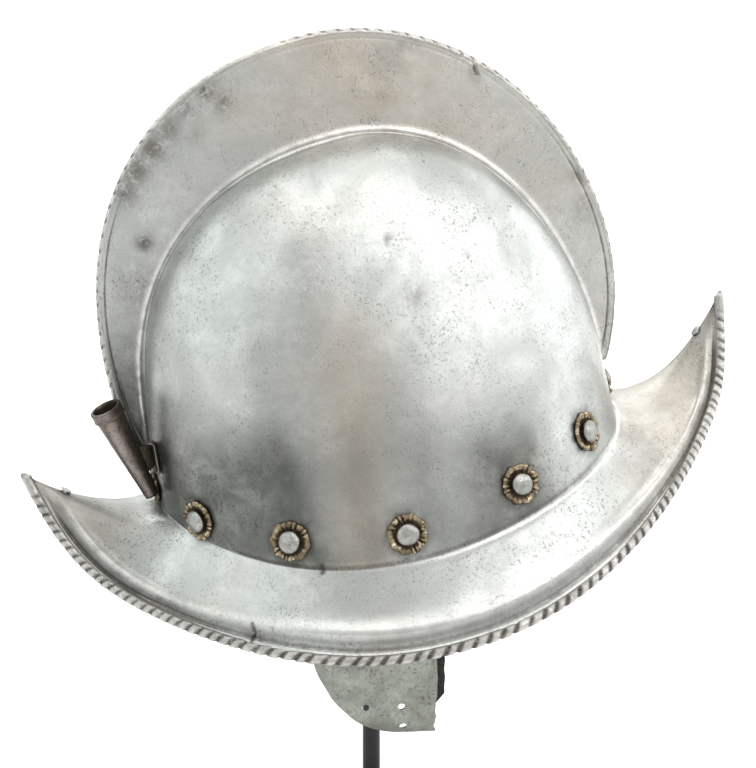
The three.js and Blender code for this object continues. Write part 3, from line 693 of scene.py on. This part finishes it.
HELMET = steel_look("helmet_steel", "helmet_steel_aged",
    (0.595, 0.61, 0.60), (0.435, 0.45, 0.438), (0.11, 0.105, 0.095))
ROPE = steel_look("helmet_steel", "edge_steel_aged",
    (0.60, 0.605, 0.59), (0.42, 0.42, 0.405), (0.10, 0.093, 0.085),
    pit_size=1.0, cloud_size=22)
HEADS = steel_look("rivet_steel", "rivet_steel_rubbed",
    (0.47, 0.47, 0.455), (0.27, 0.27, 0.258), (0.10, 0.095, 0.085),
    pit_size=0.8, marked=False, rough=0.42, pits=0.5, cloud_size=7)
HOLDER = steel_look("holder_steel", "holder_steel_brown",
    (0.19, 0.15, 0.128), (0.075, 0.06, 0.05), (0.018, 0.015, 0.013),
    pit_size=1.3, rough=0.34, pits=0.6, cloud_size=12)
HOLDER_HEAD = steel_look("holder_steel", "holder_head_steel",
    (0.36, 0.33, 0.30), (0.20, 0.18, 0.16), (0.05, 0.045, 0.04),
    pit_size=0.7, marked=False, rough=0.38, pits=0.5, cloud_size=5)
CHEEK = steel_look("cheek_steel", "cheek_steel_dull",
    (0.36, 0.375, 0.335), (0.23, 0.24, 0.21), (0.11, 0.108, 0.095),
    pit_size=1.5, marked=False, rough=0.5, pits=0.42, cloud_size=16)
BRASS = old_brass(), "washer_brass"
LEATHER = black_leather(), "black_leather"
PAINT = black_paint(), "stand_black"
WOOD = black_wood(), "stand_rest_black"

# Each mark of the sheet, with its strength all over the inner face
sheet_marks = {
    "grime_and_shade": with_inner(grime_and_shade, 0.25),
    "stain": with_inner(stain, 0.3),
    "wear_and_sheen": with_inner(wear_and_sheen, 0.0),
    "brown_and_reflection": with_inner(brown_and_reflection, 0.5),
    "painted_shade": with_inner(painted_shade, 0.6),
}
sheet_verts = world(sheet_points).reshape(-1, 3)
mesh_piece("helmet_sheet", sheet_verts, faces, HELMET, "helmet_shell", sheet_marks)


# ---- roped edges
ROPE_STEP, ROPE_SOFT, SOFTEN_STEP = 0.62, 2.2, 0.5
NICK_DRAWS = 4000
EDGE_POINTS, COMB_POINTS = 1600, 900


def evened(path, closed):
    """Rows of a path (place, then what goes with it) a step apart, its corners rounded."""
    if closed:
        path = np.concatenate([path, path[:1]])
    for spacing in (SOFTEN_STEP, ROPE_STEP):
        gaps = norm(np.diff(path[:, :3], axis=0))
        run = np.concatenate([[0], np.cumsum(gaps)])
        at = np.linspace(0, run[-1], max(8, int(round(run[-1] / spacing))) + 1)
        path = np.stack([np.interp(at, run, column) for column in path.T], -1)
        if spacing == SOFTEN_STEP:
            reach = int(4 * ROPE_SOFT / spacing)
            kernel = bell(np.arange(-reach, reach + 1) * spacing, 0, ROPE_SOFT * math.sqrt(2))
            kernel /= kernel.sum()
            body = path[:-1] if closed else path
            wide = np.pad(body, ((reach, reach), (0, 0)), mode="wrap" if closed else "edge")
            soft = np.stack([np.convolve(column, kernel, "valid") for column in wide.T], -1)
            kept = [soft, soft[:1]] if closed else [path[:1], soft[1:-1], path[-1:]]
            path = np.concatenate(kept)
    return path[:-1] if closed else path


def nicks(run, turn, pitch, slant, width, length):
    """Depth, 0 to 1, of slanted nicks along a rope. Turn is 0 on its outermost line."""
    phase = (run[:, None] - slant * turn[None, :]) / pitch
    n = np.round(phase)
    rng = np.random.default_rng(21)
    shift = rng.uniform(-0.09, 0.09, NICK_DRAWS)[n.astype(int) % NICK_DRAWS]
    deep = rng.uniform(0.55, 1.0, NICK_DRAWS)[n.astype(int) % NICK_DRAWS]
    off = np.abs(phase - n - shift) * pitch
    wedge = np.clip(1 - off / width, 0, 1) ** 0.85
    return wedge * deep * (1 - smooth(np.abs(turn)[None, :], 0.75 * length, length))


def rope(name, path, closed, sides, radius, pitch, slant, nick, grime_and_shade):
    """A roped edge along a path of places, outward ways and half widths.

    A nick is a depth, a width and a length. Round the brim the rope is closed, and finer and
    plainer towards the helmet's two points. Over the comb it is open, and worn smooth behind
    the top.
    """
    nick_depth, nick_width, nick_length = nick
    path = evened(path, closed)
    place, out, wide = path[:, :3], path[:, 3:6], path[:, 6]
    if closed:
        near_tip = np.minimum(*(norm(place - tip) for tip in tips))
        to_end = smooth(np.abs(place[:, 0]), 70, 150)
        wide = wide * mix(0.6, 1, smooth(near_tip, 4, 45))
        plain = smooth(near_tip, 5, 16) * (1 - 0.4 * to_end)
        closer = 1 + 0.42 * to_end
        tangent = unit(np.roll(place, -1, 0) - np.roll(place, 1, 0))
    else:
        plain = 1 - 0.85 * smooth(place[:, 0], -88, -70) * (1 - smooth(place[:, 0], -20, 5))
        closer = 1
        tangent = unit(np.gradient(place, axis=0))
    out = unit(out - (out * tangent).sum(-1, keepdims=True) * tangent)
    up = np.cross(tangent, out)
    steps = norm(np.roll(place, -1, 0) - place) * closer
    run = np.concatenate([[0], np.cumsum(steps[:-1])])
    if closed:
        pitch = steps.sum() / round(steps.sum() / pitch)
    turn = np.linspace(-math.pi, math.pi, sides, endpoint=False)
    cut = nicks(run, turn, pitch, slant, nick_width, nick_length) * plain[:, None]
    lumps = 1 + 0.03 * waves(np.stack([run, 0 * run, 0 * run], -1), 11, 31)[:, None]
    reach = (radius * lumps - nick_depth * cut)[..., None]
    across = (wide[:, None] * lumps - nick_depth * cut)[..., None]
    outward = np.cos(turn)[None, :, None] * reach * out[:, None]
    upward = np.sin(turn)[None, :, None] * across * up[:, None]
    verts = (place[:, None] + outward + upward).reshape(-1, 3)
    made = grid_faces(len(place), sides, closed_columns=True, closed_rows=closed)
    if not closed:
        made += [tuple(range(sides)), tuple(range(len(verts) - sides, len(verts)))]
    top = np.clip(np.cos(turn), 0, 1)[None, :] * (1 - smooth(cut, 0, 0.2))
    marks = {"grime_and_shade": grime_and_shade * smooth(cut, 0.02, 0.35), "stain": 0 * cut + 0.35, "wear_and_sheen": 0.5 * top,
             "brown_and_reflection": 0 * cut + 0.15}
    marks = {mark: value.ravel() for mark, value in marks.items()}
    mesh_piece(name, world(verts), made, ROPE, "helmet_shell", marks)


# The brim's rope lies on the outline of the solid's bead: further in along the sides
SIDE_INSET = 2.6
turns = np.linspace(0, TAU, EDGE_POINTS, endpoint=False)
edge = both_sides(brim, turns, np.ones(EDGE_POINTS))
outward_way = unit(edge - both_sides(brim, turns, np.full(EDGE_POINTS, 0.93)))
upward = unit(np.cross(outward_way, np.roll(edge, -1, 0) - np.roll(edge, 1, 0)))
upward *= np.sign(upward[:, 2:])
edge = edge - 0.5 * SHEET * upward
edge -= SIDE_INSET * (1 - np.cos(turns) ** 2)[:, None] * outward_way
brim_path = np.concatenate([edge, outward_way, np.full((EDGE_POINTS, 1), 2.35)], 1)
rope("brim_roped_edge", brim_path, True, sides=14, radius=2.55, pitch=7.0, slant=-1.5,
     nick=(1.1, 1.75, 2.6), grime_and_shade=0.92)

turns = np.linspace(0, math.pi, COMB_POINTS)
edge = comb_edge(turns)
edge[:, 1] = 0
forward = unit(np.gradient(edge, axis=0))
outward_way = np.stack([forward[:, 2], 0 * turns, -forward[:, 0]], -1)
half_widths = COMB["half"] * np.maximum(0, np.sin(turns)) ** COMB["taper"] + 0.35
comb_path = np.concatenate([edge - 2.0 * outward_way, outward_way, half_widths[:, None]], 1)
rope("comb_roped_edge", comb_path, False, sides=12, radius=2.1, pitch=6.8, slant=2.2,
     nick=(0.7, 1.1, 1.5), grime_and_shade=0.6)


# ---- turned pieces, rivets and washers
def spun(profile, sides):
    """Points and faces of a turned form about +Z, from (radius, height) pairs."""
    profile = np.array(profile, float)
    turn = np.linspace(0, TAU, sides, endpoint=False)
    radius, height = profile[:, :1], profile[:, 1:]
    p = points(radius * np.cos(turn), radius * np.sin(turn), height + 0 * turn)
    return p.reshape(-1, 3), grid_faces(len(profile), sides, closed_columns=True)


def rounded(profile, radius):
    """The same profile with its inner corners cut by small arcs."""
    out = [np.array(profile[0], float)]
    for before, corner, after in zip(profile, profile[1:], profile[2:]):
        before, corner, after = (np.array(v, float) for v in (before, corner, after))
        to_before, to_after = before - corner, after - corner
        r = min(radius, 0.45 * np.linalg.norm(to_before), 0.45 * np.linalg.norm(to_after))
        start, end = corner + r * unit(to_before), corner + r * unit(to_after)
        for t in (0, 0.5, 1):
            out.append((1 - t) ** 2 * start + 2 * t * (1 - t) * corner + t * t * end)
    out.append(np.array(profile[-1], float))
    return out


def frame_on(point, axis):
    """Side, up and axis at a seat, with up as near to +Z as it can be."""
    side = unit(np.cross((0.0, 0.0, 1.0), axis))
    return np.array(point), np.stack([side, np.cross(axis, side), axis])


def seated(p, seat):
    point, basis = seat
    return point + p @ basis


CLINCH_MM = 1.0


def rivet_form(head, rise, shank, above, grip, seed, sides=28):
    """A domed rivet, its head above a seat at height 0 and its clinched end below the grip."""
    seat, back = above + 0.1, -(grip + 0.3)
    end = 1.5 * shank
    profile = [(0, back - CLINCH_MM), (end, back - CLINCH_MM), (end, back), (shank, back)]
    profile = rounded(profile + [(shank, seat), (0.97 * head, seat)], 0.25)[:-1]
    dome = [(0.93 * head, seat)]
    for t in np.linspace(-0.25, math.pi / 2, 12)[1:]:
        radius = head * (0.06 + 0.94 * math.cos(t)) if t < 1.55 else 0
        dome.append((radius, seat + rise * (0.32 + 0.68 * math.sin(t))))
    p, made = spun(profile + dome, sides)
    top = p[:, 2] > seat - 0.01
    for depth, size, number in ((0.02, 0.9, seed), (0.007, 0.3, seed + 2)):
        lumps = waves(p[top], size * head, number)[:, None]
        p[top] += depth * head * lumps * unit(p[top] - (0, 0, seat))
    turn = np.arctan2(p[top, 1], p[top, 0])
    p[top, :2] *= 1 + 0.03 * np.cos(2 * turn + seed)[:, None]
    return p, made


WASHER_SIDES = 176
WASHER_MM = [2.4, 3.4, 4.4, 5.0, 5.5, 6.0, 6.5, 7.0, 7.5, 8.0, 8.4, 8.8, 9.1, 9.35, 9.5]


def washer_form(seed):
    """Lobed rosette with uneven pressed folds, its rim turned up and crushed here and there."""
    rng = np.random.default_rng(seed)
    turn = np.linspace(0, TAU, WASHER_SIDES, endpoint=False)
    radii = np.array(WASHER_MM)[:, None]
    draw = lambda: rng.uniform(0, TAU)
    crush = sum(rng.uniform(0.12, 0.4) * np.cos(k * turn + draw()) for k in (2, 3, 5))
    drift = 0.35 * np.sin(turn + draw()) + 0.3 * np.sin(2 * turn + draw()) + 0.3 * crush
    strength = 0.65 + 0.5 * np.clip(np.cos(turn * 2 + draw()) + crush, -1, 1)
    lobes = np.cos(8 * turn + 1.6 * drift)
    folds = 0.6 * np.cos(19 * turn + 4 * drift) + 0.5 * np.cos(27 * turn + 5 * drift + 1.3)
    folds = strength * folds
    span = smooth(radii, 4.8, 9.0)
    r = radii * (1 + 0.03 * span * lobes + 0.022 * span * crush + 0.012 * span * folds)
    top = 0.9 + (0.9 + 0.6 * crush) * bell(radii, 8.3, 1.9) + 0.6 * folds * bell(radii, 7.7, 1.9)
    top = top + 0.35 * span * lobes - 0.35 * smooth(radii, 9.0, 9.5)
    x, y = r * np.cos(turn), r * np.sin(turn)
    p_top = points(x, y, np.maximum(top, 0.5))
    p_top[..., 2] += 0.14 * waves(p_top, 2.2, seed + 3)
    p_low = points(x, y, 0 * top + 0.2)[::-1] * (0.995, 0.995, 1)
    p = np.concatenate([p_top, p_low]).reshape(-1, 3)
    made = grid_faces(2 * len(WASHER_MM), WASHER_SIDES, closed_columns=True, closed_rows=True)
    fold_low = 0.6 * np.clip(-folds, -0.5, 1) - 0.12 * crush
    low = 1.1 - 0.95 * bell(radii, 8.5, 1.8) + fold_low + 0.1 * waves(p_top, 4, seed + 7)
    return p, made, np.clip(np.concatenate([low, 0 * top + 1.0]), 0, 1).ravel()


RIVET_HEAD = dict(head=5.2, rise=3.4, shank=2, above=1.5, sides=40)
GRIP, LEATHER_GRIP = 1.4, 5.8
for number, (label, seat) in enumerate(seats.items()):
    here = frame_on(*seat)
    p, made, low = washer_form(40 + number)
    if label == "back":
        low = np.clip(low + 0.2, 0, 1)
    c, s = math.cos(0.7 * number), math.sin(0.7 * number)
    verts = world(seated(p @ np.array([[c, s, 0], [-s, c, 0], [0, 0, 1]]), here))
    mesh_piece("rosette_" + label, verts, made, BRASS, "rosette_washer_" + label, {"hollow": low})
    grip = LEATHER_GRIP if label.endswith("_3") else GRIP
    p, made = rivet_form(**RIVET_HEAD, grip=grip, seed=70 + number)
    verts = world(seated(p, here))
    mesh_piece("lining_head_" + label, verts, made, HEADS, "lining_rivet_" + label)

for label, turn, inset in (("front", 0.0, 17), ("back", math.pi, 19)):
    turn = np.array([turn])
    wide = norm(brim(turn, np.ones(1)) - brim(turn, np.zeros(1)))
    at = lambda d: brim(turn, 1 - d / wide)[0]
    axis = np.cross(unit(at(inset - 2) - at(inset + 2)), (0, 1, 0))
    axis = axis * np.sign(axis[2])
    p, made = rivet_form(head=2.9, rise=0.7, shank=1.4, above=0.3, grip=2.7, seed=5)
    verts = world(seated(p, frame_on(at(inset), axis)))
    mesh_piece("brim_head_" + label, verts, made, HEADS, "brim_rivet_" + label)


# ---- plume holder
def small_plate(width, height, thick, columns=20, rows=24):
    """A small plate in its own frame, with rounded corners and thinner edges."""
    uu, vv = np.meshgrid(np.linspace(-1, 1, columns), np.linspace(-1, 1, rows))
    far = np.maximum(np.abs(uu), np.abs(vv))
    square = (np.abs(uu) ** 6 + np.abs(vv) ** 6) ** (1 / 6)
    shrink = far / np.maximum(square, 1e-6)
    x, y = uu * shrink * width / 2, vv * shrink * height / 2
    edge_near = 1 - smooth(far, 0.86, 1.0) * 0.35
    top = points(x, y, thick * edge_near + 0.04 * waves(points(x, y, 0 * x), 4, 9))
    return slab(top, points(x, y, thick * (1 - edge_near)))


def joined(parts):
    verts, made, start = [], [], 0
    for p, f in parts:
        verts.append(p)
        made += [tuple(v + start for v in face) for face in f]
        start += len(p)
    return np.concatenate(verts), made


def turn_aside(aside):
    return math.degrees(math.asin((aside / FOOT["half"]) ** (FOOT["square"] / 2)))


TUBE_ASIDE, TUBE_LOW, TUBE_BEHIND, TUBE_FOOT = 14.5, 0.5, 2.1, 3.4
TUBE_SIDES = 72
MOUTH = (6.25, 50.1)
TUBE = [(0, 0), (TUBE_FOOT, 0), (3.75, 4), (7.15, 44.6), (7.15, 45.0), (7.9, 45.3), (8.0, 45.9),
        (7.7, 46.5), (7.85, 50.0), (7.55, 50.5), (6.5, 50.5), MOUTH, (6.0, 46), (2.5, 8), (0, 8)]
PLATE_ASIDE, PLATE_UP, PLATE_HEIGHT, PLATE_THICK = 17, 18, 16, 1.2
# The web is tall and dark all over: a dark sheet standing in for the shade between the tube and
# the skull
WEB_THICK, WEB_HEIGHT, WEB_RAISED = 3.4, 13, 1.5

lean = math.radians(13.3)
tube_axis = np.array([-math.sin(lean), 0, math.cos(lean)])
behind, _ = wall_seat(180 - turn_aside(TUBE_ASIDE), TUBE_LOW)
tube_foot = np.array([behind[0] - TUBE_BEHIND - TUBE_FOOT, -TUBE_ASIDE, TUBE_LOW])
profile = []
for low, high in zip(TUBE, TUBE[1:]):
    for t in np.linspace(0, 1, 10 if abs(high[1] - low[1]) > 5 else 3, endpoint=False):
        profile.append((mix(low[0], high[0], t), mix(low[1], high[1], t)))
profile.append(TUBE[-1])
tube, tube_faces = spun(profile, TUBE_SIDES)
turn = np.arctan2(tube[:, 1], tube[:, 0])


def towards(angle, width):
    """Nearness of the tube's points to one of its sides."""
    return bell(np.angle(np.exp(1j * (turn - angle))), 0, width)


# The tube's seam and lumps, then its marks: painted shade inside it, on its side towards the
# helmet and at its foot, and a painted sheen in a stripe on its -Y side
outside = np.hypot(tube[:, 0], tube[:, 1]) > 3
seam = towards(-0.4, 0.07) * (tube[:, 2] > 0.5)
tube[:, :2] *= (1 - 0.07 * seam * outside - 0.012 * waves(tube, 9, 17) * outside)[:, None]
hollow = np.arange(len(tube)) // TUBE_SIDES > profile.index(MOUTH)
shaded = smooth(np.cos(turn), -0.05, 0.5) + 0.25 * smooth(-tube[:, 2], -12, 0)
tube_painted_shade = np.where(hollow, 1.0, shaded)
tube_painted_sheen = np.where(hollow, 0, 0.16 * towards(-1.95, 0.4))

plate_frame = frame_on(*wall_seat(180 - turn_aside(PLATE_ASIDE), PLATE_UP))
plate_at, (_, plate_upward, plate_axis) = plate_frame
plate, plate_faces = small_plate(9, PLATE_HEIGHT, PLATE_THICK)
plate[:, 2] += 0.3
web_start = plate_at + 0.9 * plate_axis
web_end = tube_foot + tube_axis * ((web_start[2] - tube_foot[2]) / tube_axis[2])
span = web_end - web_start
web, web_faces = small_plate(WEB_THICK, WEB_HEIGHT, np.linalg.norm(span), columns=10, rows=12)
web[:, 1] += WEB_RAISED
tube_basis = np.stack([np.cross((0, 1, 0), tube_axis), (0, 1, 0), tube_axis])
verts, made = joined([
    (tube_foot + tube @ tube_basis, tube_faces),
    (seated(plate, plate_frame), plate_faces),
    (seated(web, frame_on(web_start, unit(span))), web_faces),
])
# The darkening mark paints shade over the tube's shaded places and the whole web; the lightening
# mark paints the tube's sheen stripe; the plate's marks are even
holder_marks = {
    "grime_and_shade": np.concatenate([tube_painted_shade, np.full(len(plate), 0.3), np.full(len(web), 1.0)]),
    "wear_and_sheen": np.concatenate([tube_painted_sheen, np.full(len(plate), 0.3), np.zeros(len(web))]),
}
mesh_piece("plume_tube", world(verts), made, HOLDER, "plume_holder", holder_marks)
rivet_at = plate_at + plate_upward * (2.8 - PLATE_HEIGHT / 2)
p, made = rivet_form(head=2.2, rise=1.2, shank=1.4, above=1.5, grip=1.4, seed=8)
verts = world(seated(p, (rivet_at, plate_frame[1])))
mesh_piece("plume_rivet_head", verts, made, HOLDER_HEAD, "plume_rivet")


# ---- cheek plates and their leathers
# Millimetres from the carrying rivet, in a frame that hangs plumb
CHEEK_TOP, CHEEK_HEIGHT, CHEEK_FRONT, CHEEK_LENGTH, CHEEK_FOOT = 34, 71, 14, 62, 13
LEATHER_THICK, LEATHER_SWING, LEATHER_HALF, GAP = 2.4, 9, 9, 0.3
LEATHER_TOP, LEATHER_END, LEATHER_POINT = 7, -95, 13
# Shares of the plate's length from its front, and of its height from its top
CHEEK_HOLES = [(0.53, 0.76), (0.26, 0.76), (0.23, 0.93)]
HOLE_RADIUS, PUNCH_REACH = 1.75, 14


def hang(axis, x, z):
    lean = (axis[0] * x + axis[2] * np.maximum(z, -8)) / abs(axis[1])
    drop = np.maximum(0, -z - CHEEK_TOP) / CHEEK_HEIGHT
    bow = 7 * (np.minimum(0, x - LEATHER_SWING) / CHEEK_LENGTH) ** 2
    return -lean - SHEET - GAP - 0.7 - bow - 10 * drop**6


def cheek_grid(axis, inset, size=56):
    u, v = np.meshgrid(np.linspace(0, 1, size), np.linspace(0, 1, size))
    turn = v * math.pi / 2
    back = CHEEK_FRONT - CHEEK_FOOT - (CHEEK_LENGTH - CHEEK_FOOT) * np.cos(turn)
    back = back + 0.4 * waves(points(0 * v, 0 * v, 60 * v), 6, 62)
    front = CHEEK_FRONT + 2.0 * smooth(v, 0.55, 0.95)
    front = front + 0.35 * waves(points(0 * v, 0 * v, 40 * v), 5, 61)
    x = mix(back, front, u)
    ragged = 0.3 * waves(points(x, 0 * x, 0 * x), 7, 63) * smooth(v, 0.9, 1)
    z = -CHEEK_TOP - CHEEK_HEIGHT * np.sin(turn) + ragged
    out = hang(axis, x, z) + GAP + SHEET + 0.22 * waves(points(x, 0 * x, z), 16, 64) - inset
    return points(x, np.sign(axis[1]) * out, z)


def leather_grid(axis, inset, columns=13, rows=64):
    u, v = np.meshgrid(np.linspace(-1, 1, columns), np.linspace(0, 1, rows))
    z = mix(LEATHER_TOP, LEATHER_END, v)
    half = LEATHER_HALF * np.clip((z - LEATHER_END) / LEATHER_POINT, 0.03, 1)
    half = half + 0.25 * waves(points(0 * z, 0 * z, z), 9, 65)
    x = LEATHER_SWING * smooth(-z, 0, CHEEK_TOP) + u * half
    out = hang(axis, x, z) - inset + 0.1 * waves(points(x, 0 * x, z), 10, 66)
    return points(x, np.sign(axis[1]) * out, z)


def modified(piece, kind, **settings):
    """Adds a modifier to a piece and applies it."""
    made = piece.modifiers.new(kind.lower(), kind)
    for key, value in settings.items():
        setattr(made, key, value)
    seen = piece.evaluated_get(bpy.context.evaluated_depsgraph_get())
    mesh = bpy.data.meshes.new_from_object(seen)
    piece.modifiers.clear()
    piece.data = mesh
    for polygon in mesh.polygons:
        polygon.use_smooth = True


def punch(piece, places):
    """Cuts round holes across a piece at places in metres."""
    p, made = spun([(0, -PUNCH_REACH), (HOLE_RADIUS, -PUNCH_REACH), (HOLE_RADIUS, PUNCH_REACH),
                    (0, PUNCH_REACH)], 20)
    _, basis = frame_on((0, 0, 0), np.array((0.0, 1.0, 0.0)))
    for place in places:
        mesh = mesh_of("punch", place + (p @ basis) / 1000, made)
        cleaned(mesh, MERGE / 2)
        tool = linked("punch", mesh)
        modified(piece, "BOOLEAN", operation="DIFFERENCE", object=tool, solver="EXACT")
        bpy.data.objects.remove(tool)


BEVEL = dict(segments=2, limit_method="ANGLE", angle_limit=math.radians(50))
for label in ("right", "left"):
    point, helmet_axis = seats[label + "_3"]
    origin = world(point[None])[0]
    axis = world(helmet_axis[None])[0] * 1000 - (DATUM_AHEAD, 0, DATUM_UP)
    p, made = slab(cheek_grid(axis, 0), cheek_grid(axis, SHEET))
    plate = mesh_piece("cheek_" + label, origin + p / 1000, made, CHEEK, "cheek_plate_" + label)
    level = np.sign(axis[1]) * hang(axis, np.array(9.0), np.array(-34.0))
    holes = []
    for back, down in CHEEK_HOLES:
        x, z = CHEEK_FRONT - back * CHEEK_LENGTH, -CHEEK_TOP - down * CHEEK_HEIGHT
        holes.append(origin + np.array((x, level, z)) / 1000)
    punch(plate, holes)
    modified(plate, "BEVEL", width=0.0003, **BEVEL)
    p, made = slab(leather_grid(axis, 0), leather_grid(axis, LEATHER_THICK))
    verts = origin + p / 1000
    strap = mesh_piece("cheek_strap_" + label, verts, made, LEATHER, "cheek_leather_" + label)
    modified(strap, "BEVEL", width=0.0005, **BEVEL)
    flat = unit(np.array((axis[0], axis[1], 0)))
    for number, drop in enumerate((8, 19), 1):
        z = -CHEEK_TOP - drop
        out = hang(axis, np.array(9.0), np.array(float(z))) + GAP + SHEET
        here = frame_on((LEATHER_SWING, np.sign(axis[1]) * out, z), flat)
        p, made = rivet_form(head=2.6, rise=1.2, shank=1.4, above=0.2, grip=4.1, seed=90 + number)
        name, node = ("cheek_%s_%s_%d" % (kind, label, number) for kind in ("head", "rivet"))
        mesh_piece(name, origin + seated(p, here) / 1000, made, HEADS, node)


# ---- stand
def turned_piece(name, profile, sides, look, replaced, radius):
    p, made = spun(rounded(profile, radius), sides)
    mesh_piece(name, p / 1000, made, look, replaced)


POST_RADIUS, REST_SIDES, REST_GAP = 4.5, 96, 0.0021
BASE = [(0, 4), (4.8, 4), (4.8, 12), (40, 12), (76.5, 11.6), (80, 8.6), (80, 1.2), (79, 0), (0, 0)]
REST = [(4.8, 8), (4.8, 0.6), (5.4, 0), (26, 0), (28.6, 0.8), (29.8, 2.6), (30, 5)]
turned_piece("stand_foot_plate", BASE, 160, PAINT, "stand_base", 1.2)
low, high = (corner.z * 1000 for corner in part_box("stand_pole"))
post = [(0, low), *((POST_RADIUS, z) for z in (low, 60, 200, high)), (0, high)]
turned_piece("stand_post", post, 64, PAINT, "stand_pole", 0.4)

# The rest: its top follows the inside of the crown
rest_low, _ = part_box("stand_rest")
stations, shares = np.linspace(0.02, math.pi - 0.02, 60), np.linspace(0.5, 1, 60)
crown = [wall(np.array([t]), np.array([s]))[0] for t in stations for s in shares]
crown = world(np.stack(crown))
crown = np.concatenate([crown, crown * (1, -1, 1)])


def crown_under(x, y):
    """Height of the crown's inside over a place on the stand, metres."""
    gap = np.hypot(crown[:, 0] - x, crown[:, 1] - y)
    close = np.argsort(gap)[:6]
    weight = 1 / (gap[close] + 1e-4)
    return float((crown[close, 2] * weight).sum() / weight.sum()) - REST_GAP


circle = [(math.cos(t), math.sin(t)) for t in np.linspace(0, TAU, REST_SIDES, endpoint=False)]
rings = [[(0, 0, rest_low.z + 0.008)] * REST_SIDES]
for r, z in REST:
    rings.append([(r / 1000 * c, r / 1000 * s, rest_low.z + z / 1000) for c, s in circle])
for r in (*np.linspace(29.9, 4, 16), 0):
    down = 0.0006 if r > 29 else 0
    places = [(r / 1000 * c, r / 1000 * s) for c, s in circle]
    rings.append([(x, y, crown_under(x, y) - down) for x, y in places])
rest_faces = grid_faces(len(rings), REST_SIDES, closed_columns=True)
mesh_piece("stand_crown_rest", np.array(rings).reshape(-1, 3), rest_faces, WOOD, "stand_rest")

# ---- floor, light and camera
FLOOR = 14
corners = [(x * FLOOR, y * FLOOR, 0) for x, y in ((-1, -1), (1, -1), (1, 1), (-1, 1))]
floor_mesh = mesh_of("floor", corners, [(0, 1, 2, 3)])
floor = linked("floor", floor_mesh)
pale = Finish("floor_pale")
cloud = pale.span(pale.noise(900, 3, 0.5), 0.3, 0.7)
floor_mesh.materials.append(pale.finish(pale.blend(cloud, (0.86,) * 3, (0.88,) * 3), 0.7))


def area_light(name, place, target, size, watts, colour):
    light = bpy.data.lights.new(name, "AREA")
    light.shape, light.size, light.size_y = "RECTANGLE", size[0], size[1]
    light.energy, light.color = watts, colour
    lamp = linked(name, light)
    lamp.location = place
    lamp.rotation_mode = "QUATERNION"
    lamp.rotation_quaternion = (Vector(target) - Vector(place)).to_track_quat("-Z", "Y")


HELMET_AT = (0, 0, 0.33)


def panel(name, azimuth, elevation, distance, size, glow, colour):
    """A soft panel round the helmet: azimuth from the near side to the front, glow in radiance."""
    turn, rise = math.radians(azimuth), math.radians(elevation)
    level = math.cos(rise)
    way = Vector((math.sin(turn) * level, -math.cos(turn) * level, math.sin(rise)))
    watts = glow * math.pi * size[0] * size[1]
    area_light(name, Vector(HELMET_AT) + distance * way, HELMET_AT, size, watts, colour)


panel("front_right_soft", 36, 34, 1.7, (2.0, 1.3), 2.15, (1.0, 0.995, 0.985))
panel("front_high", -6, 64, 1.8, (1.8, 0.9), 1.7, (1.0, 0.99, 0.97))
panel("left_cool", -74, 22, 1.8, (2.4, 1.7), 1.08, (0.93, 1.0, 0.995))
panel("back_left_high", -142, 36, 1.8, (1.9, 1.4), 1.05, (0.95, 1.0, 0.99))
panel("right_fill", 92, 14, 1.8, (2.2, 1.3), 1.3, (0.97, 1.0, 1.0))
panel("overhead_soft", 180, 80, 1.7, (1.9, 1.4), 1.2, (1.0, 0.99, 0.965))
# One panel lights the floor behind the stand, so that the background is near white
BACK_GLOW = 1.55 * math.pi * 12.2
area_light("back_panel", (1.25, 2.1, 0.85), (1.25, 2.1, 0), (3.2, 3.8), BACK_GLOW, (1, 1, 1))

studio = bpy.data.worlds.new("studio")
bpy.context.scene.world = studio
studio.use_nodes = True
sky = studio.node_tree.nodes["Background"]
sky.inputs["Color"].default_value = (0.995, 0.98, 0.955, 1)
sky.inputs["Strength"].default_value = 0.58
bpy.context.scene.view_settings.view_transform = "Standard"

# The camera, solved from the photograph's outlines
SENSOR_MM, FOCAL_PIXELS, LONG_SIDE_PIXELS = 36, 2626, 768
camera_data = bpy.data.cameras.new("camera")
camera = linked("camera", camera_data)
camera_data.sensor_width = SENSOR_MM
camera_data.lens = FOCAL_PIXELS * SENSOR_MM / LONG_SIDE_PIXELS
camera_data.clip_start, camera_data.clip_end = 0.05, 60
camera.location = (-0.29223, -1.19743, 0.65035)
camera.rotation_mode = "QUATERNION"
camera_axes = Matrix((
    (0.970802, -0.239883, -0.00017),
    (0.072655, 0.29336, 0.953237),
    (-0.228616, -0.925417, 0.302223),
))
camera.rotation_quaternion = camera_axes.transposed().to_quaternion()
bpy.context.scene.camera = camera
